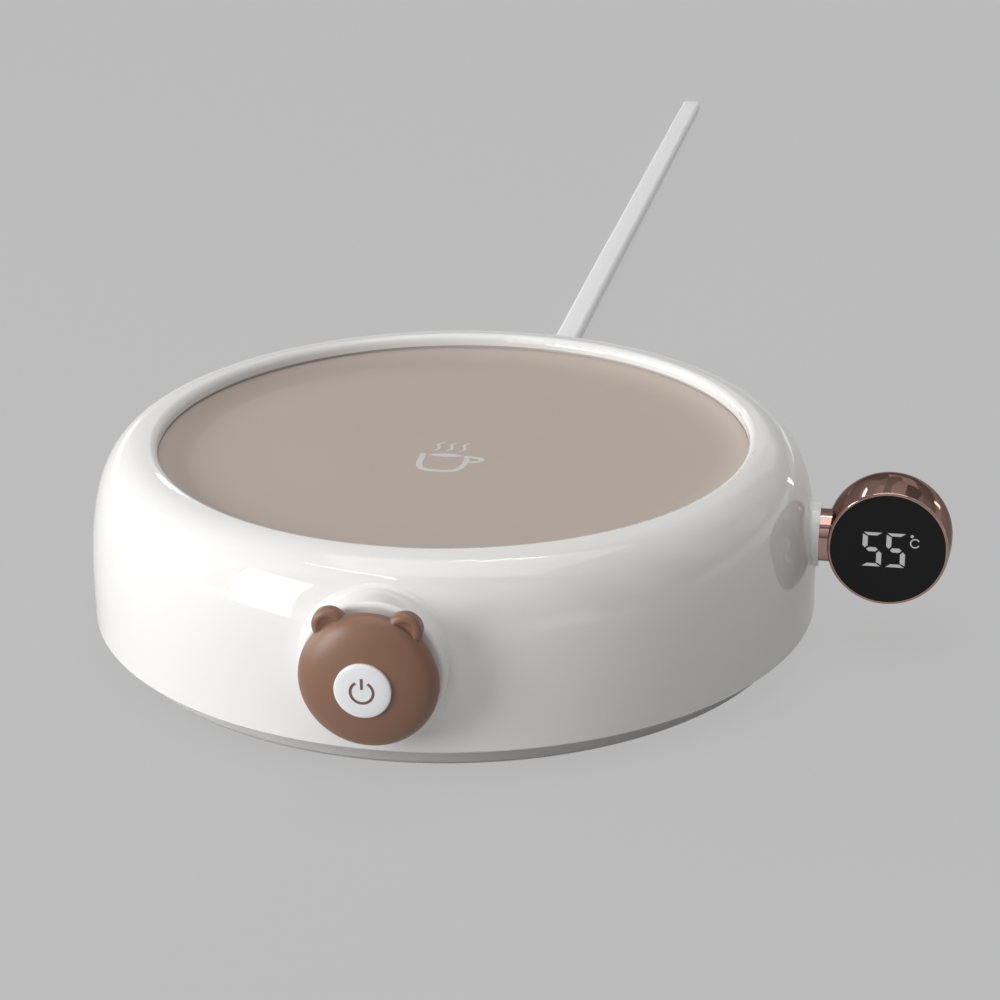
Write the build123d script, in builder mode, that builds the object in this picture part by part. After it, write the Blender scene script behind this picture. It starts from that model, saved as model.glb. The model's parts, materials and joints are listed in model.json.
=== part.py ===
from build123d import *
import os
from math import cos, pi, radians, sin, tan

# An electric mug warmer: a low round body with a dished heating plate in its top, a push button in
# front, a swivelling display on its right and a cord behind.
# Millimetres. +Z is up, and the origin is on the body's axis, where the foot ring rests.
# -Y is towards the button, +X towards the display and +Y towards the cord.

os.makedirs("parts", exist_ok=True)

# Body
body_radius = 62.5
straight_wall = 5.85        # height of the upright wall, below the shoulder
shoulder_reach = 10.8       # from the upright wall in to the rim's crest
shoulder_rise = 23.8        # from the upright wall's top to the rim's crest
shoulder_fullness = 0.70    # how far the shoulder's curve holds to its corner
shell_wall = 2.4
shell_edge_chamfer = 0.3
lip_width = 1.2             # from the rim's crest in to the plate's opening
lip_drop = 2.5              # from the rim's crest down to the plate's edge

# Base and foot
foot_proud = 1.2
foot_width = 6.0
foot_outer_radius = 50.0
foot_groove = 1.2
foot_edge_round = 0.3
base_reveal = 3.85          # height of base seen under the shell
base_inset = 3.5            # how much smaller the base's underside is than the body
base_floor = 2.4
base_edge_round = 0.7
upstand_height = 3.95
upstand_wall = 1.8
shell_clearance = 0.2

# Heating plate and what is stacked under it
plate_thickness = 2.0
plate_dish = 1.3
plate_flank = 5.5           # run of the plate's upturned edge
plate_flange = 2.3          # what the lip covers
plate_clearance = 0.3
seal_thickness = 0.5
seal_inset = 0.3
rib_wall = 1.6
rib_depth = 3.7
heater_radius = 42.0
heater_thickness = 1.0
pad_thickness = 2.6
pan_metal = 0.6
pan_clearance = 0.5
pan_rim = 3.5
retainer_inset = 0.3
retainer_floor = 1.7
retainer_ledge = 5.0
ear_radius = 2.6
ear_thickness = 2.0
ear_offset = 3.4            # from the plate's edge out to the ear's screw
ear_angles = (90, 210, 330)

# Screws
base_screw_shank = 1.3
base_screw_head = 2.4
base_screw_head_height = 1.8
base_screw_offset = 1.3     # from the plate's edge out to the screw
base_screw_angles = (45, 135, 225, 315)
base_screw_grip = 3.2       # base material between the screw's head and the shell's post
base_screw_bite = 8.0
post_radius = 2.6
post_web = 1.6
post_gap = 1.0              # from the post's top up to the retainer
pillar_radius = 3.4
small_screw_shank = 1.0
small_screw_head = 2.0
small_screw_head_height = 1.3
retainer_screw_bite = 4.0
hole_play = 0.15
head_play = 0.3

# Button
button_height = 19.55
boss_radius = 11.5
boss_proud = 2.0
boss_depth = 6.0
boss_edge_round = 0.8
boss_fillet = 1.5
cap_gap = 1.5               # from the boss's face to the cap's back
cap_radius = 10.9
cap_depth = 5.0
cap_fullness = 0.62
cap_back_round = 0.9
cap_hollow_radius = 8.9
cap_hollow_depth = 2.4
ear_bump_radius = 2.7
ear_bump_depth = 2.0
ear_bump_round = 0.85
ear_bump_side = 5.8
ear_bump_rise = 8.65
ear_dish_radius = 1.75
ear_dish_depth = 0.5
inlay_radius = 4.4
inlay_seat = 0.8
inlay_proud = 0.35
inlay_crown = 0.25
inlay_play = 0.05
stem_radius = 2.5
stem_socket_wall = 0.9
stem_socket_length = 3.4
stem_play = 0.05
button_travel = 1.2
pocket_radius = 4.6
pocket_depth = 4.5
pocket_wall = 1.2
pocket_floor = 2.0
guide_wall = 1.5
guide_length = 2.5
clip_thickness = 0.8
clip_radius = 4.4
clip_groove = 0.6
clip_play = 0.05
stem_tail = 1.5
spring_wire = 0.3           # the wire's radius
spring_mean_radius = 3.9
spring_turns = 5

# Key switch behind the button
plunger_radius = 1.75
plunger_length = 2.6
plunger_proud = 1.5
plunger_room = 0.2
switch_side = 6.0
switch_depth = 3.6
board_thickness = 1.6
switch_board_width = 20.0
switch_board_gap = 1.0      # from the board's top up to the retainer
board_slot_play = 0.1
board_guide_wall = 2.0
board_guide_width = 4.0
board_guide_height = 10.0

# Display pod
pod_height = 19.45
pod_offset = 12.1           # from the body's wall to the pod's centre
pod_radius = 10.6
pod_rim_radius = 10.1
pod_rim_round = 0.35
pod_flare = 7               # how far the pod's side leans out behind its rim, in degrees
pod_front = 4.7
pod_waist = 2.0             # how far behind the neck's axis the pod is widest
pod_dome = 8.5
pod_fullness = 0.64
pod_wall = 1.1
window_radius = 9.6
window_thickness = 1.3
window_play = 0.05
window_ledge = 0.9
module_width = 15.0
module_height = 8.0
module_depth = 2.6
module_gap = 0.2
display_board_radius = 8.3
display_board_thickness = 1.2
pod_post_radius = 1.2
pod_post_circle = 6.0

# Neck and its bearing
neck_radius = 4.45
neck_bore = 2.75
neck_play = 0.05
neck_reach = 3.4            # how far the neck runs out past the body's wall
neck_boss_radius = 5.45
neck_boss_proud = 0.6
neck_boss_fillet = 0.5
neck_inner_boss_radius = 7.2
bush_radius = 5.6
bush_length = 4.0
bush_flange = 1.2
bush_shoulder = 2.8         # boss material in front of the bush
ring_groove_width = 1.2
ring_groove_depth = 0.9
ring_wire = 0.45
collar_radius = 6.4
collar_thickness = 1.35
collar_play = 0.05
collar_tab_inner = 5.0
collar_tab_length = 1.1
collar_tab_angle = 24
collar_tail = 0.3
swivel_up = 90
swivel_down = 20
stop_play_angle = 1

# Cord, strain relief and clamp
cord_width = 5.2
cord_thickness = 3.1
cord_corner = 0.9
cord_height = 12.0
relief_length = 24.0
relief_hole_radius = 4.0
relief_play = 0.05
relief_flange_radius = 5.2
relief_flange = 2.5
relief_collar_radius = 5.4
relief_collar = 1.4
relief_wall_gap = 0.1
relief_root_radius = 4.6
relief_tip_radius = 3.6
relief_rings = 5
relief_ring_depth = 0.7
relief_ring_gap = 1.3
lead_tail = 2.0             # how far the sheath runs past its clamp
clamp_length = 6.0
clamp_gap = 7.2             # from the clamp to the strain relief
clamp_width = 20.0
clamp_height = 4.0
clamp_squeeze = 0.8
clamp_screw_side = 7.0
clamp_screw_bite = 7.0

# Main board and its components
standoff_height = 4.6
standoff_radius = 2.4
board_length = 60.0
board_width = 44.0
board_corner = 2.0
board_hole_inset = 3.0
board_screw_bite = 3.5
wire_radius = 0.9
thin_wire_radius = 0.6

# Levels and radii that follow from these
base_bottom = foot_proud
base_floor_top = base_bottom + base_floor
shell_bottom = base_bottom + base_reveal
upstand_top = shell_bottom + upstand_height
shoulder_start = shell_bottom + straight_wall
rim_top = shoulder_start + shoulder_rise
rim_radius = body_radius - shoulder_reach
lip_radius = rim_radius - lip_width
inner_radius = body_radius - shell_wall
base_radius = inner_radius - shell_clearance

plate_edge_top = rim_top - lip_drop
plate_edge_bottom = plate_edge_top - plate_thickness
plate_top = plate_edge_top - plate_dish
plate_bottom = plate_top - plate_thickness
plate_flat_radius = lip_radius - plate_flank
plate_radius = lip_radius + plate_flange
ledge_height = plate_edge_top + seal_thickness
rib_radius = plate_radius + plate_clearance

heater_bottom = plate_bottom - heater_thickness
pad_bottom = heater_bottom - pad_thickness
pan_bottom = pad_bottom - pan_metal
retainer_bottom = pan_bottom - retainer_floor
retainer_inner_radius = lip_radius + retainer_inset
pan_radius = retainer_inner_radius - pan_clearance
ear_circle = plate_radius + ear_offset
ear_top = retainer_bottom + ear_thickness

base_screw_circle = plate_radius + base_screw_offset
post_bottom = upstand_top
post_top = retainer_bottom - post_gap
base_screw_head_top = post_bottom - base_screw_grip

boss_face = -(body_radius + boss_proud)
cap_back = boss_face - cap_gap
cap_front = cap_back - cap_depth
cap_ceiling = cap_back - cap_hollow_depth
pocket_end = boss_face + pocket_depth
guide_start = pocket_end + pocket_floor
guide_end = guide_start + guide_length
stem_start = cap_back - cap_hollow_depth + inlay_seat / 2
clip_start = guide_end + clip_play
stem_end = clip_start + clip_thickness + stem_tail
switch_front = stem_end + plunger_proud
switch_back = switch_front + switch_depth
switch_board_back = switch_back + board_thickness
switch_board_top = retainer_bottom - switch_board_gap

pod_centre = body_radius + pod_offset
neck_end = body_radius + neck_reach
neck_boss_face = body_radius + neck_boss_proud
bush_end = neck_boss_face - bush_shoulder
bush_start = bush_end - bush_length
flange_start = bush_start - bush_flange
collar_end = flange_start - collar_play
collar_start = collar_end - collar_thickness
neck_start = collar_start - collar_tail
ring_groove_centre = (bush_start + bush_end) / 2
tab_rest_angle = 270

relief_start = inner_radius - shell_clearance * 2 - relief_flange
relief_end = body_radius + relief_length
clamp_front = relief_start - clamp_gap - clamp_length
lead_end = clamp_front - lead_tail

main_board_bottom = base_floor_top + standoff_height
main_board_top = main_board_bottom + board_thickness
board_hole_x = board_length / 2 - board_hole_inset
board_hole_y = board_width / 2 - board_hole_inset


def facing_front(y):
    """The upright plane at y, looking out over the button."""
    return Plane(origin=(0, y, button_height), x_dir=(1, 0, 0), z_dir=(0, -1, 0))


def facing_right(x):
    """The upright plane at x, looking out along the display's neck."""
    return Plane(origin=(x, 0, pod_height), x_dir=(0, 1, 0), z_dir=(1, 0, 0))


def facing_rear(y):
    """The upright plane at y, looking out along the cord."""
    return Plane(origin=(0, y, cord_height), x_dir=(-1, 0, 0), z_dir=(0, 1, 0))


def on_circle(radius, angles):
    """Places on a circle about the body's axis."""
    return [(radius * cos(radians(a)), radius * sin(radians(a))) for a in angles]


button_axis = Axis((0, 0, button_height), (0, 1, 0))
neck_axis = Axis((0, 0, pod_height), (1, 0, 0))
pod_axis = Axis((pod_centre, 0, pod_height), (0, 1, 0))
cord_axis = Axis((0, 0, cord_height), (0, 1, 0))
button_section = Plane.XY.offset(button_height)
pod_section = Plane(origin=(pod_centre, 0, pod_height), x_dir=(1, 0, 0), z_dir=(0, 0, 1))
cord_section = Plane.XY.offset(cord_height)
neck_section = Plane(origin=(0, 0, pod_height), x_dir=(1, 0, 0), z_dir=(0, -1, 0))

base_screw_places = on_circle(base_screw_circle, base_screw_angles)
ear_places = on_circle(ear_circle, ear_angles)
board_hole_places = [(x, y) for x in (-board_hole_x, board_hole_x) for y in (-board_hole_y, board_hole_y)]
clamp_middle = clamp_front + clamp_length / 2
clamp_screw_places = [(-clamp_screw_side, clamp_middle), (clamp_screw_side, clamp_middle)]


# The hollow of the shell, with what is left standing in it: rib, posts, bosses and guides
with BuildPart() as shell_hollow:
    with BuildSketch(Plane.XZ):
        with BuildLine():
            inner_reach = inner_radius - rib_radius
            inner_rise = ledge_height - shoulder_start
            Polyline((0, 0), (inner_radius, 0), (inner_radius, shoulder_start))
            Bezier(
                (inner_radius, shoulder_start),
                (inner_radius, shoulder_start + shoulder_fullness * inner_rise),
                (rib_radius + shoulder_fullness * inner_reach, ledge_height),
                (rib_radius, ledge_height),
            )
            Polyline(
                (rib_radius, ledge_height),
                (lip_radius, ledge_height),
                (lip_radius, 2 * rim_top),
                (0, 2 * rim_top),
                (0, 0),
            )
        make_face()
    revolve(axis=Axis.Z)
    # the hollow behind the button's boss
    with BuildSketch(facing_front(boss_face + boss_depth + shell_wall)):
        Circle(boss_radius - shell_wall)
    extrude(amount=boss_depth)
    # the rib round the plate
    with BuildSketch(Plane.XY.offset(ledge_height - rib_depth)):
        Circle(rib_radius + rib_wall)
        Circle(rib_radius, mode=Mode.SUBTRACT)
    extrude(amount=rib_depth, mode=Mode.SUBTRACT)
    # the posts for the base's screws, each with a web out to the wall
    with BuildSketch(Plane.XY.offset(post_bottom)):
        with Locations(*base_screw_places):
            Circle(post_radius)
        web_length = body_radius - base_screw_circle
        for angle in base_screw_angles:
            with Locations(*on_circle(base_screw_circle + web_length / 2, [angle])):
                Rectangle(web_length, post_web, rotation=angle)
    extrude(amount=post_top - post_bottom, mode=Mode.SUBTRACT)
    # the bosses for the retainer's screws, down from the shoulder
    with BuildSketch(Plane.XY.offset(ear_top)):
        with Locations(*ear_places):
            Circle(ear_radius)
    extrude(amount=ledge_height - ear_top, mode=Mode.SUBTRACT)
    # the button's spring pocket and guide
    with BuildSketch(facing_front(guide_start)):
        Circle(pocket_radius + pocket_wall)
    extrude(amount=guide_start - boss_face, mode=Mode.SUBTRACT)
    with BuildSketch(facing_front(guide_end)):
        Circle(stem_radius + stem_play + guide_wall)
    extrude(amount=guide_length, mode=Mode.SUBTRACT)
    # the boss that holds the neck's bush
    with BuildSketch(facing_right(bush_start)):
        Circle(neck_inner_boss_radius)
    extrude(amount=body_radius - bush_start, mode=Mode.SUBTRACT)


# Outer shell
with BuildPart() as outer_shell:
    with BuildSketch(Plane.XZ):
        with BuildLine():
            Polyline(
                (0, shell_bottom),
                (body_radius - shell_edge_chamfer, shell_bottom),
                (body_radius, shell_bottom + shell_edge_chamfer),
                (body_radius, shoulder_start),
            )
            Bezier(
                (body_radius, shoulder_start),
                (body_radius, shoulder_start + shoulder_fullness * shoulder_rise),
                (rim_radius + shoulder_fullness * shoulder_reach, rim_top),
                (rim_radius, rim_top),
            )
            JernArc((rim_radius, rim_top), (-1, 0), lip_width, 90)
            Polyline((lip_radius, rim_top - lip_width), (0, rim_top - lip_width), (0, shell_bottom))
        make_face()
    revolve(axis=Axis.Z)
    # the raised boss behind the button
    with BuildSketch(facing_front(boss_face + boss_depth)):
        Circle(boss_radius)
    extrude(amount=boss_depth)
    boss_edges = [
        edge
        for edge in outer_shell.edges()
        if abs(Vector((edge @ 0.3).X, (edge @ 0.3).Z - button_height).length - boss_radius) < 0.01
        and (edge @ 0.3).Y < 0
    ]
    boss_rim = [edge for edge in boss_edges if abs((edge @ 0.3).Y - boss_face) < 0.01]
    boss_root = [edge for edge in boss_edges if edge not in boss_rim]
    fillet(boss_root, boss_fillet)
    boss_rim = [
        edge
        for edge in outer_shell.edges().filter_by(GeomType.CIRCLE)
        if abs(edge.radius - boss_radius) < 0.01 and abs((edge @ 0.3).Y - boss_face) < 0.01
    ]
    fillet(boss_rim, boss_edge_round)
    # the small boss that the neck comes out of
    with BuildSketch(facing_right(bush_end)):
        Circle(neck_boss_radius)
    extrude(amount=neck_boss_face - bush_end)
    neck_edges = [
        edge
        for edge in outer_shell.edges()
        if abs(Vector((edge @ 0.3).Y, (edge @ 0.3).Z - pod_height).length - neck_boss_radius) < 0.01
        and (edge @ 0.3).X > 0
        and abs((edge @ 0.3).X - neck_boss_face) > 0.01
    ]
    fillet(neck_edges, neck_boss_fillet)
    # hollowed, with its ribs, posts and bosses left standing
    add(shell_hollow.part, mode=Mode.SUBTRACT)
    # the button's spring pocket and the stem's bore
    with BuildSketch(facing_front(boss_face)):
        Circle(pocket_radius)
    extrude(amount=-pocket_depth, mode=Mode.SUBTRACT)
    with BuildSketch(facing_front(boss_face)):
        Circle(stem_radius + stem_play)
    extrude(amount=boss_face - guide_end, mode=Mode.SUBTRACT)
    # the bush's seat and the neck's bore
    with BuildSketch(facing_right(bush_start)):
        Circle(bush_radius)
    extrude(amount=bush_length, mode=Mode.SUBTRACT)
    with BuildSketch(facing_right(bush_start)):
        Circle(neck_radius + neck_play)
    extrude(amount=neck_boss_face - bush_start, mode=Mode.SUBTRACT)
    # the strain relief's hole
    with BuildSketch(facing_rear(inner_radius - shell_wall)):
        Circle(relief_hole_radius)
    extrude(amount=3 * shell_wall, mode=Mode.SUBTRACT)
    # the screws' bores
    with BuildSketch(Plane.XY.offset(post_bottom)):
        with Locations(*base_screw_places):
            Circle(base_screw_shank)
    extrude(amount=base_screw_bite + hole_play, mode=Mode.SUBTRACT)
    with BuildSketch(Plane.XY.offset(ear_top)):
        with Locations(*ear_places):
            Circle(small_screw_shank)
    extrude(amount=retainer_screw_bite + hole_play, mode=Mode.SUBTRACT)
outer_shell.part.label = "outer_shell"
export_step(outer_shell.part, "parts/outer_shell.step")


# Base plate
saddle_top = cord_height - clamp_squeeze / 2
board_guide_middle = switch_back + board_thickness / 2
with BuildPart() as base_plate:
    base_underside = body_radius - base_inset
    with BuildSketch(Plane.XZ):
        with BuildLine():
            Polyline(
                (0, base_bottom),
                (base_underside - base_edge_round, base_bottom),
                (base_underside, base_bottom + base_edge_round),
                (base_radius, shell_bottom),
                (base_radius, upstand_top),
                (base_radius - upstand_wall, upstand_top),
                (base_radius - upstand_wall, base_floor_top),
                (0, base_floor_top),
                close=True,
            )
        make_face()
    revolve(axis=Axis.Z)
    with BuildSketch(Plane.XY.offset(base_floor_top)):
        with Locations(*base_screw_places):
            Circle(pillar_radius)
    extrude(amount=post_bottom - base_floor_top)
    with BuildSketch(Plane.XY.offset(base_floor_top)):
        with Locations(*board_hole_places):
            Circle(standoff_radius)
    extrude(amount=standoff_height)
    # the saddle under the cord's clamp
    with BuildSketch(Plane.XY.offset(base_floor_top)):
        with Locations((0, clamp_middle)):
            Rectangle(clamp_width, clamp_length)
    extrude(amount=saddle_top - base_floor_top)
    with BuildSketch(facing_rear(clamp_front)):
        RectangleRounded(cord_width, cord_thickness, cord_corner)
    extrude(amount=clamp_length, mode=Mode.SUBTRACT)
    # the slotted uprights that hold the switch's board
    guide_side = switch_board_width / 2 - board_guide_width / 2 + board_guide_wall / 2
    with BuildSketch(Plane.XY.offset(base_floor_top)):
        with Locations((-guide_side, board_guide_middle), (guide_side, board_guide_middle)):
            Rectangle(board_guide_width + board_guide_wall, board_thickness + 2 * board_guide_wall)
    extrude(amount=board_guide_height)
    with BuildSketch(Plane.XY.offset(base_floor_top)):
        with Locations((0, board_guide_middle)):
            Rectangle(switch_board_width + 2 * board_slot_play, board_thickness + 2 * board_slot_play)
    extrude(amount=board_guide_height, mode=Mode.SUBTRACT)
    # the notch that the strain relief's flange stands in
    with BuildSketch(Plane.XY.offset(cord_height - relief_flange_radius - 2 * shell_clearance)):
        with Locations((0, base_radius - upstand_wall / 2)):
            Rectangle(2 * relief_flange_radius + 1, 2 * upstand_wall)
    extrude(amount=relief_flange_radius, mode=Mode.SUBTRACT)
    # screw holes, counterbored from below
    with BuildSketch(Plane.XY.offset(base_bottom)):
        with Locations(*base_screw_places):
            Circle(base_screw_head + head_play)
    extrude(amount=base_screw_head_top - base_bottom, mode=Mode.SUBTRACT)
    with BuildSketch(Plane.XY.offset(base_bottom)):
        with Locations(*base_screw_places):
            Circle(base_screw_shank + hole_play)
    extrude(amount=post_bottom - base_bottom, mode=Mode.SUBTRACT)
    with BuildSketch(Plane.XY.offset(main_board_bottom)):
        with Locations(*board_hole_places):
            Circle(small_screw_shank)
    extrude(amount=-board_screw_bite - hole_play, mode=Mode.SUBTRACT)
    with BuildSketch(Plane.XY.offset(saddle_top)):
        with Locations(*clamp_screw_places):
            Circle(small_screw_shank)
    extrude(amount=-clamp_screw_bite - hole_play, mode=Mode.SUBTRACT)
    # the foot ring's groove
    with BuildSketch(Plane.XY.offset(base_bottom)):
        Circle(foot_outer_radius)
        Circle(foot_outer_radius - foot_width, mode=Mode.SUBTRACT)
    extrude(amount=foot_groove, mode=Mode.SUBTRACT)
    # vents under the board
    vent_count = 12
    vent_circle = 16.0
    vent_length = 10.0
    vent_width = 2.0
    with BuildSketch(Plane.XY.offset(base_bottom)):
        with PolarLocations(vent_circle, vent_count):
            SlotOverall(vent_length, vent_width)
    extrude(amount=base_floor, mode=Mode.SUBTRACT)
base_plate.part.label = "base_plate"
export_step(base_plate.part, "parts/base_plate.step")


# Foot ring
with BuildPart() as foot_ring:
    with BuildSketch():
        Circle(foot_outer_radius)
        Circle(foot_outer_radius - foot_width, mode=Mode.SUBTRACT)
    extrude(amount=foot_proud + foot_groove)
    chamfer(foot_ring.edges().group_by(Axis.Z)[0], foot_edge_round)
foot_ring.part.label = "foot_ring"
export_step(foot_ring.part, "parts/foot_ring.step")


# Base screws, from below into the shell's posts
with BuildPart() as base_screws:
    with BuildSketch(Plane.XY.offset(base_screw_head_top)):
        with Locations(*base_screw_places):
            Circle(base_screw_head)
    extrude(amount=-base_screw_head_height)
    with BuildSketch(Plane.XY.offset(base_screw_head_top)):
        with Locations(*base_screw_places):
            Circle(base_screw_shank)
    extrude(amount=base_screw_grip + base_screw_bite)
base_screws.part.label = "base_screws"
export_step(base_screws.part, "parts/base_screws.step")


# Heating plate: a pressed dish whose edge turns up to the lip
with BuildPart() as heating_plate:
    with BuildSketch(Plane.XZ):
        with BuildLine():
            Line((0, plate_bottom), (plate_flat_radius, plate_bottom))
            TangentArc(
                (plate_flat_radius, plate_bottom), (lip_radius, plate_edge_bottom), tangent=(1, 0)
            )
            Polyline(
                (lip_radius, plate_edge_bottom),
                (plate_radius, plate_edge_bottom),
                (plate_radius, plate_edge_top),
                (lip_radius, plate_edge_top),
            )
            TangentArc((plate_flat_radius, plate_top), (lip_radius, plate_edge_top), tangent=(1, 0))
            Polyline((plate_flat_radius, plate_top), (0, plate_top), (0, plate_bottom))
        make_face()
    revolve(axis=Axis.Z)
heating_plate.part.label = "heating_plate"
export_step(heating_plate.part, "parts/heating_plate.step")


# Plate seal
with BuildPart() as plate_seal:
    with BuildSketch(Plane.XY.offset(plate_edge_top)):
        Circle(plate_radius)
        Circle(lip_radius + seal_inset, mode=Mode.SUBTRACT)
    extrude(amount=seal_thickness)
plate_seal.part.label = "plate_seal"
export_step(plate_seal.part, "parts/plate_seal.step")


# Sensor, fuse and the holes that they and the heater's wires need
sensor_place = (12.0, -10.0)
sensor_radius = 2.5
sensor_hole_radius = 2.8
sensor_flange_radius = 4.0
sensor_flange = 0.8
sensor_tail = 2.5
wire_hole_place = (20.0, 26.0)
wire_hole_radius = 2.6
wire_side = 1.2             # of each wire, from the middle of its pair

with BuildPart() as heater_mat:
    with BuildSketch(Plane.XY.offset(heater_bottom)):
        Circle(heater_radius)
        with Locations(sensor_place):
            Circle(sensor_hole_radius, mode=Mode.SUBTRACT)
    extrude(amount=heater_thickness)
heater_mat.part.label = "heater_mat"
export_step(heater_mat.part, "parts/heater_mat.step")

with BuildPart() as insulation_pad:
    with BuildSketch(Plane.XY.offset(pad_bottom)):
        Circle(pan_radius - pan_metal - pan_clearance)
        with Locations(sensor_place):
            Circle(sensor_hole_radius, mode=Mode.SUBTRACT)
        with Locations(wire_hole_place):
            Circle(wire_hole_radius, mode=Mode.SUBTRACT)
    extrude(amount=pad_thickness)
insulation_pad.part.label = "insulation_pad"
export_step(insulation_pad.part, "parts/insulation_pad.step")

with BuildPart() as heat_shield:
    with BuildSketch(Plane.XY.offset(pan_bottom)):
        Circle(pan_radius)
    extrude(amount=pan_rim)
    chamfer(heat_shield.edges().group_by(Axis.Z)[0], pan_metal)
    with BuildSketch(Plane.XY.offset(pad_bottom)):
        Circle(pan_radius - pan_metal)
    extrude(amount=pan_rim, mode=Mode.SUBTRACT)
    with BuildSketch(Plane.XY.offset(pan_bottom)):
        with Locations(sensor_place):
            Circle(sensor_hole_radius)
        with Locations(wire_hole_place):
            Circle(wire_hole_radius)
    extrude(amount=pan_metal, mode=Mode.SUBTRACT)
heat_shield.part.label = "heat_shield"
export_step(heat_shield.part, "parts/heat_shield.step")


# Retainer that clamps the stack up against the lip
with BuildPart() as plate_retainer:
    with BuildSketch(Plane.XY.offset(retainer_bottom)):
        Circle(plate_radius)
        Circle(retainer_inner_radius, mode=Mode.SUBTRACT)
    extrude(amount=plate_edge_bottom - retainer_bottom)
    with BuildSketch(Plane.XY.offset(retainer_bottom)):
        Circle(retainer_inner_radius)
        Circle(retainer_inner_radius - retainer_ledge, mode=Mode.SUBTRACT)
    extrude(amount=retainer_floor)
    with BuildSketch(Plane.XY.offset(retainer_bottom)):
        with Locations(*ear_places):
            Circle(ear_radius)
        for angle in ear_angles:
            ear_root = plate_radius - retainer_inset
            with Locations(*on_circle((ear_root + ear_circle) / 2, [angle])):
                Rectangle(ear_circle - ear_root, 2 * ear_radius, rotation=angle)
        with Locations(*ear_places):
            Circle(small_screw_shank + hole_play, mode=Mode.SUBTRACT)
    extrude(amount=ear_thickness)
plate_retainer.part.label = "plate_retainer"
export_step(plate_retainer.part, "parts/plate_retainer.step")

with BuildPart() as retainer_screws:
    with BuildSketch(Plane.XY.offset(retainer_bottom)):
        with Locations(*ear_places):
            Circle(small_screw_head)
    extrude(amount=-small_screw_head_height)
    with BuildSketch(Plane.XY.offset(retainer_bottom)):
        with Locations(*ear_places):
            Circle(small_screw_shank)
    extrude(amount=ear_thickness + retainer_screw_bite)
retainer_screws.part.label = "retainer_screws"
export_step(retainer_screws.part, "parts/retainer_screws.step")


# Temperature sensor, through the pan and the pad up to the plate
with BuildPart() as temperature_sensor:
    with BuildSketch(Plane.XY.offset(pan_bottom - sensor_flange - sensor_tail)):
        with Locations(sensor_place):
            Circle(sensor_radius)
    extrude(amount=plate_bottom - pan_bottom + sensor_flange + sensor_tail)
    with BuildSketch(Plane.XY.offset(pan_bottom - sensor_flange)):
        with Locations(sensor_place):
            Circle(sensor_flange_radius)
    extrude(amount=sensor_flange)
temperature_sensor.part.label = "temperature_sensor"
export_step(temperature_sensor.part, "parts/temperature_sensor.step")


# Thermal fuse, strapped to the pan
fuse_place = (-8.0, 26.0)
fuse_radius = 2.0
fuse_length = 10.0
fuse_lead_radius = 0.5
fuse_lead_length = 4.0
strap_metal = 0.5
strap_width = 4.0
strap_foot = 3.5
fuse_axis_height = pan_bottom - fuse_radius
with BuildPart() as thermal_fuse:
    with BuildSketch(Plane(origin=(fuse_place[0] - fuse_length / 2, fuse_place[1], fuse_axis_height),
                           x_dir=(0, 1, 0), z_dir=(1, 0, 0))):
        Circle(fuse_radius)
    extrude(amount=fuse_length)
    with BuildSketch(Plane(origin=(fuse_place[0] - fuse_length / 2 - fuse_lead_length, fuse_place[1],
                                   fuse_axis_height), x_dir=(0, 1, 0), z_dir=(1, 0, 0))):
        Circle(fuse_lead_radius)
    extrude(amount=fuse_length + 2 * fuse_lead_length)
thermal_fuse.part.label = "thermal_fuse"
export_step(thermal_fuse.part, "parts/thermal_fuse.step")

with BuildPart() as fuse_strap:
    with BuildSketch(Plane(origin=(fuse_place[0] - strap_width / 2, fuse_place[1], fuse_axis_height),
                           x_dir=(0, 1, 0), z_dir=(1, 0, 0))):
        Circle(fuse_radius + strap_metal)
        with Locations((0, fuse_radius / 2)):
            Rectangle(2 * (fuse_radius + strap_metal), fuse_radius)
        with Locations((0, fuse_radius - strap_metal / 2)):
            Rectangle(2 * (fuse_radius + strap_metal + strap_foot), strap_metal)
        Circle(fuse_radius, mode=Mode.SUBTRACT)
        with Locations((0, fuse_radius / 2 + strap_metal)):
            Rectangle(2 * fuse_radius, fuse_radius + 2 * strap_metal, mode=Mode.SUBTRACT)
        with Locations((0, fuse_radius + fuse_radius / 2)):
            Rectangle(4 * fuse_radius, fuse_radius, mode=Mode.SUBTRACT)
    extrude(amount=strap_width)
fuse_strap.part.label = "fuse_strap"
export_step(fuse_strap.part, "parts/fuse_strap.step")


# Main board
with BuildPart() as main_board:
    with BuildSketch(Plane.XY.offset(main_board_bottom)):
        RectangleRounded(board_length, board_width, board_corner)
        with Locations(*board_hole_places):
            Circle(small_screw_shank + hole_play, mode=Mode.SUBTRACT)
    extrude(amount=board_thickness)
main_board.part.label = "main_board"
export_step(main_board.part, "parts/main_board.step")

with BuildPart() as board_screws:
    with BuildSketch(Plane.XY.offset(main_board_top)):
        with Locations(*board_hole_places):
            Circle(small_screw_head)
    extrude(amount=small_screw_head_height)
    with BuildSketch(Plane.XY.offset(main_board_top)):
        with Locations(*board_hole_places):
            Circle(small_screw_shank)
    extrude(amount=-board_thickness - board_screw_bite)
board_screws.part.label = "board_screws"
export_step(board_screws.part, "parts/board_screws.step")


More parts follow.
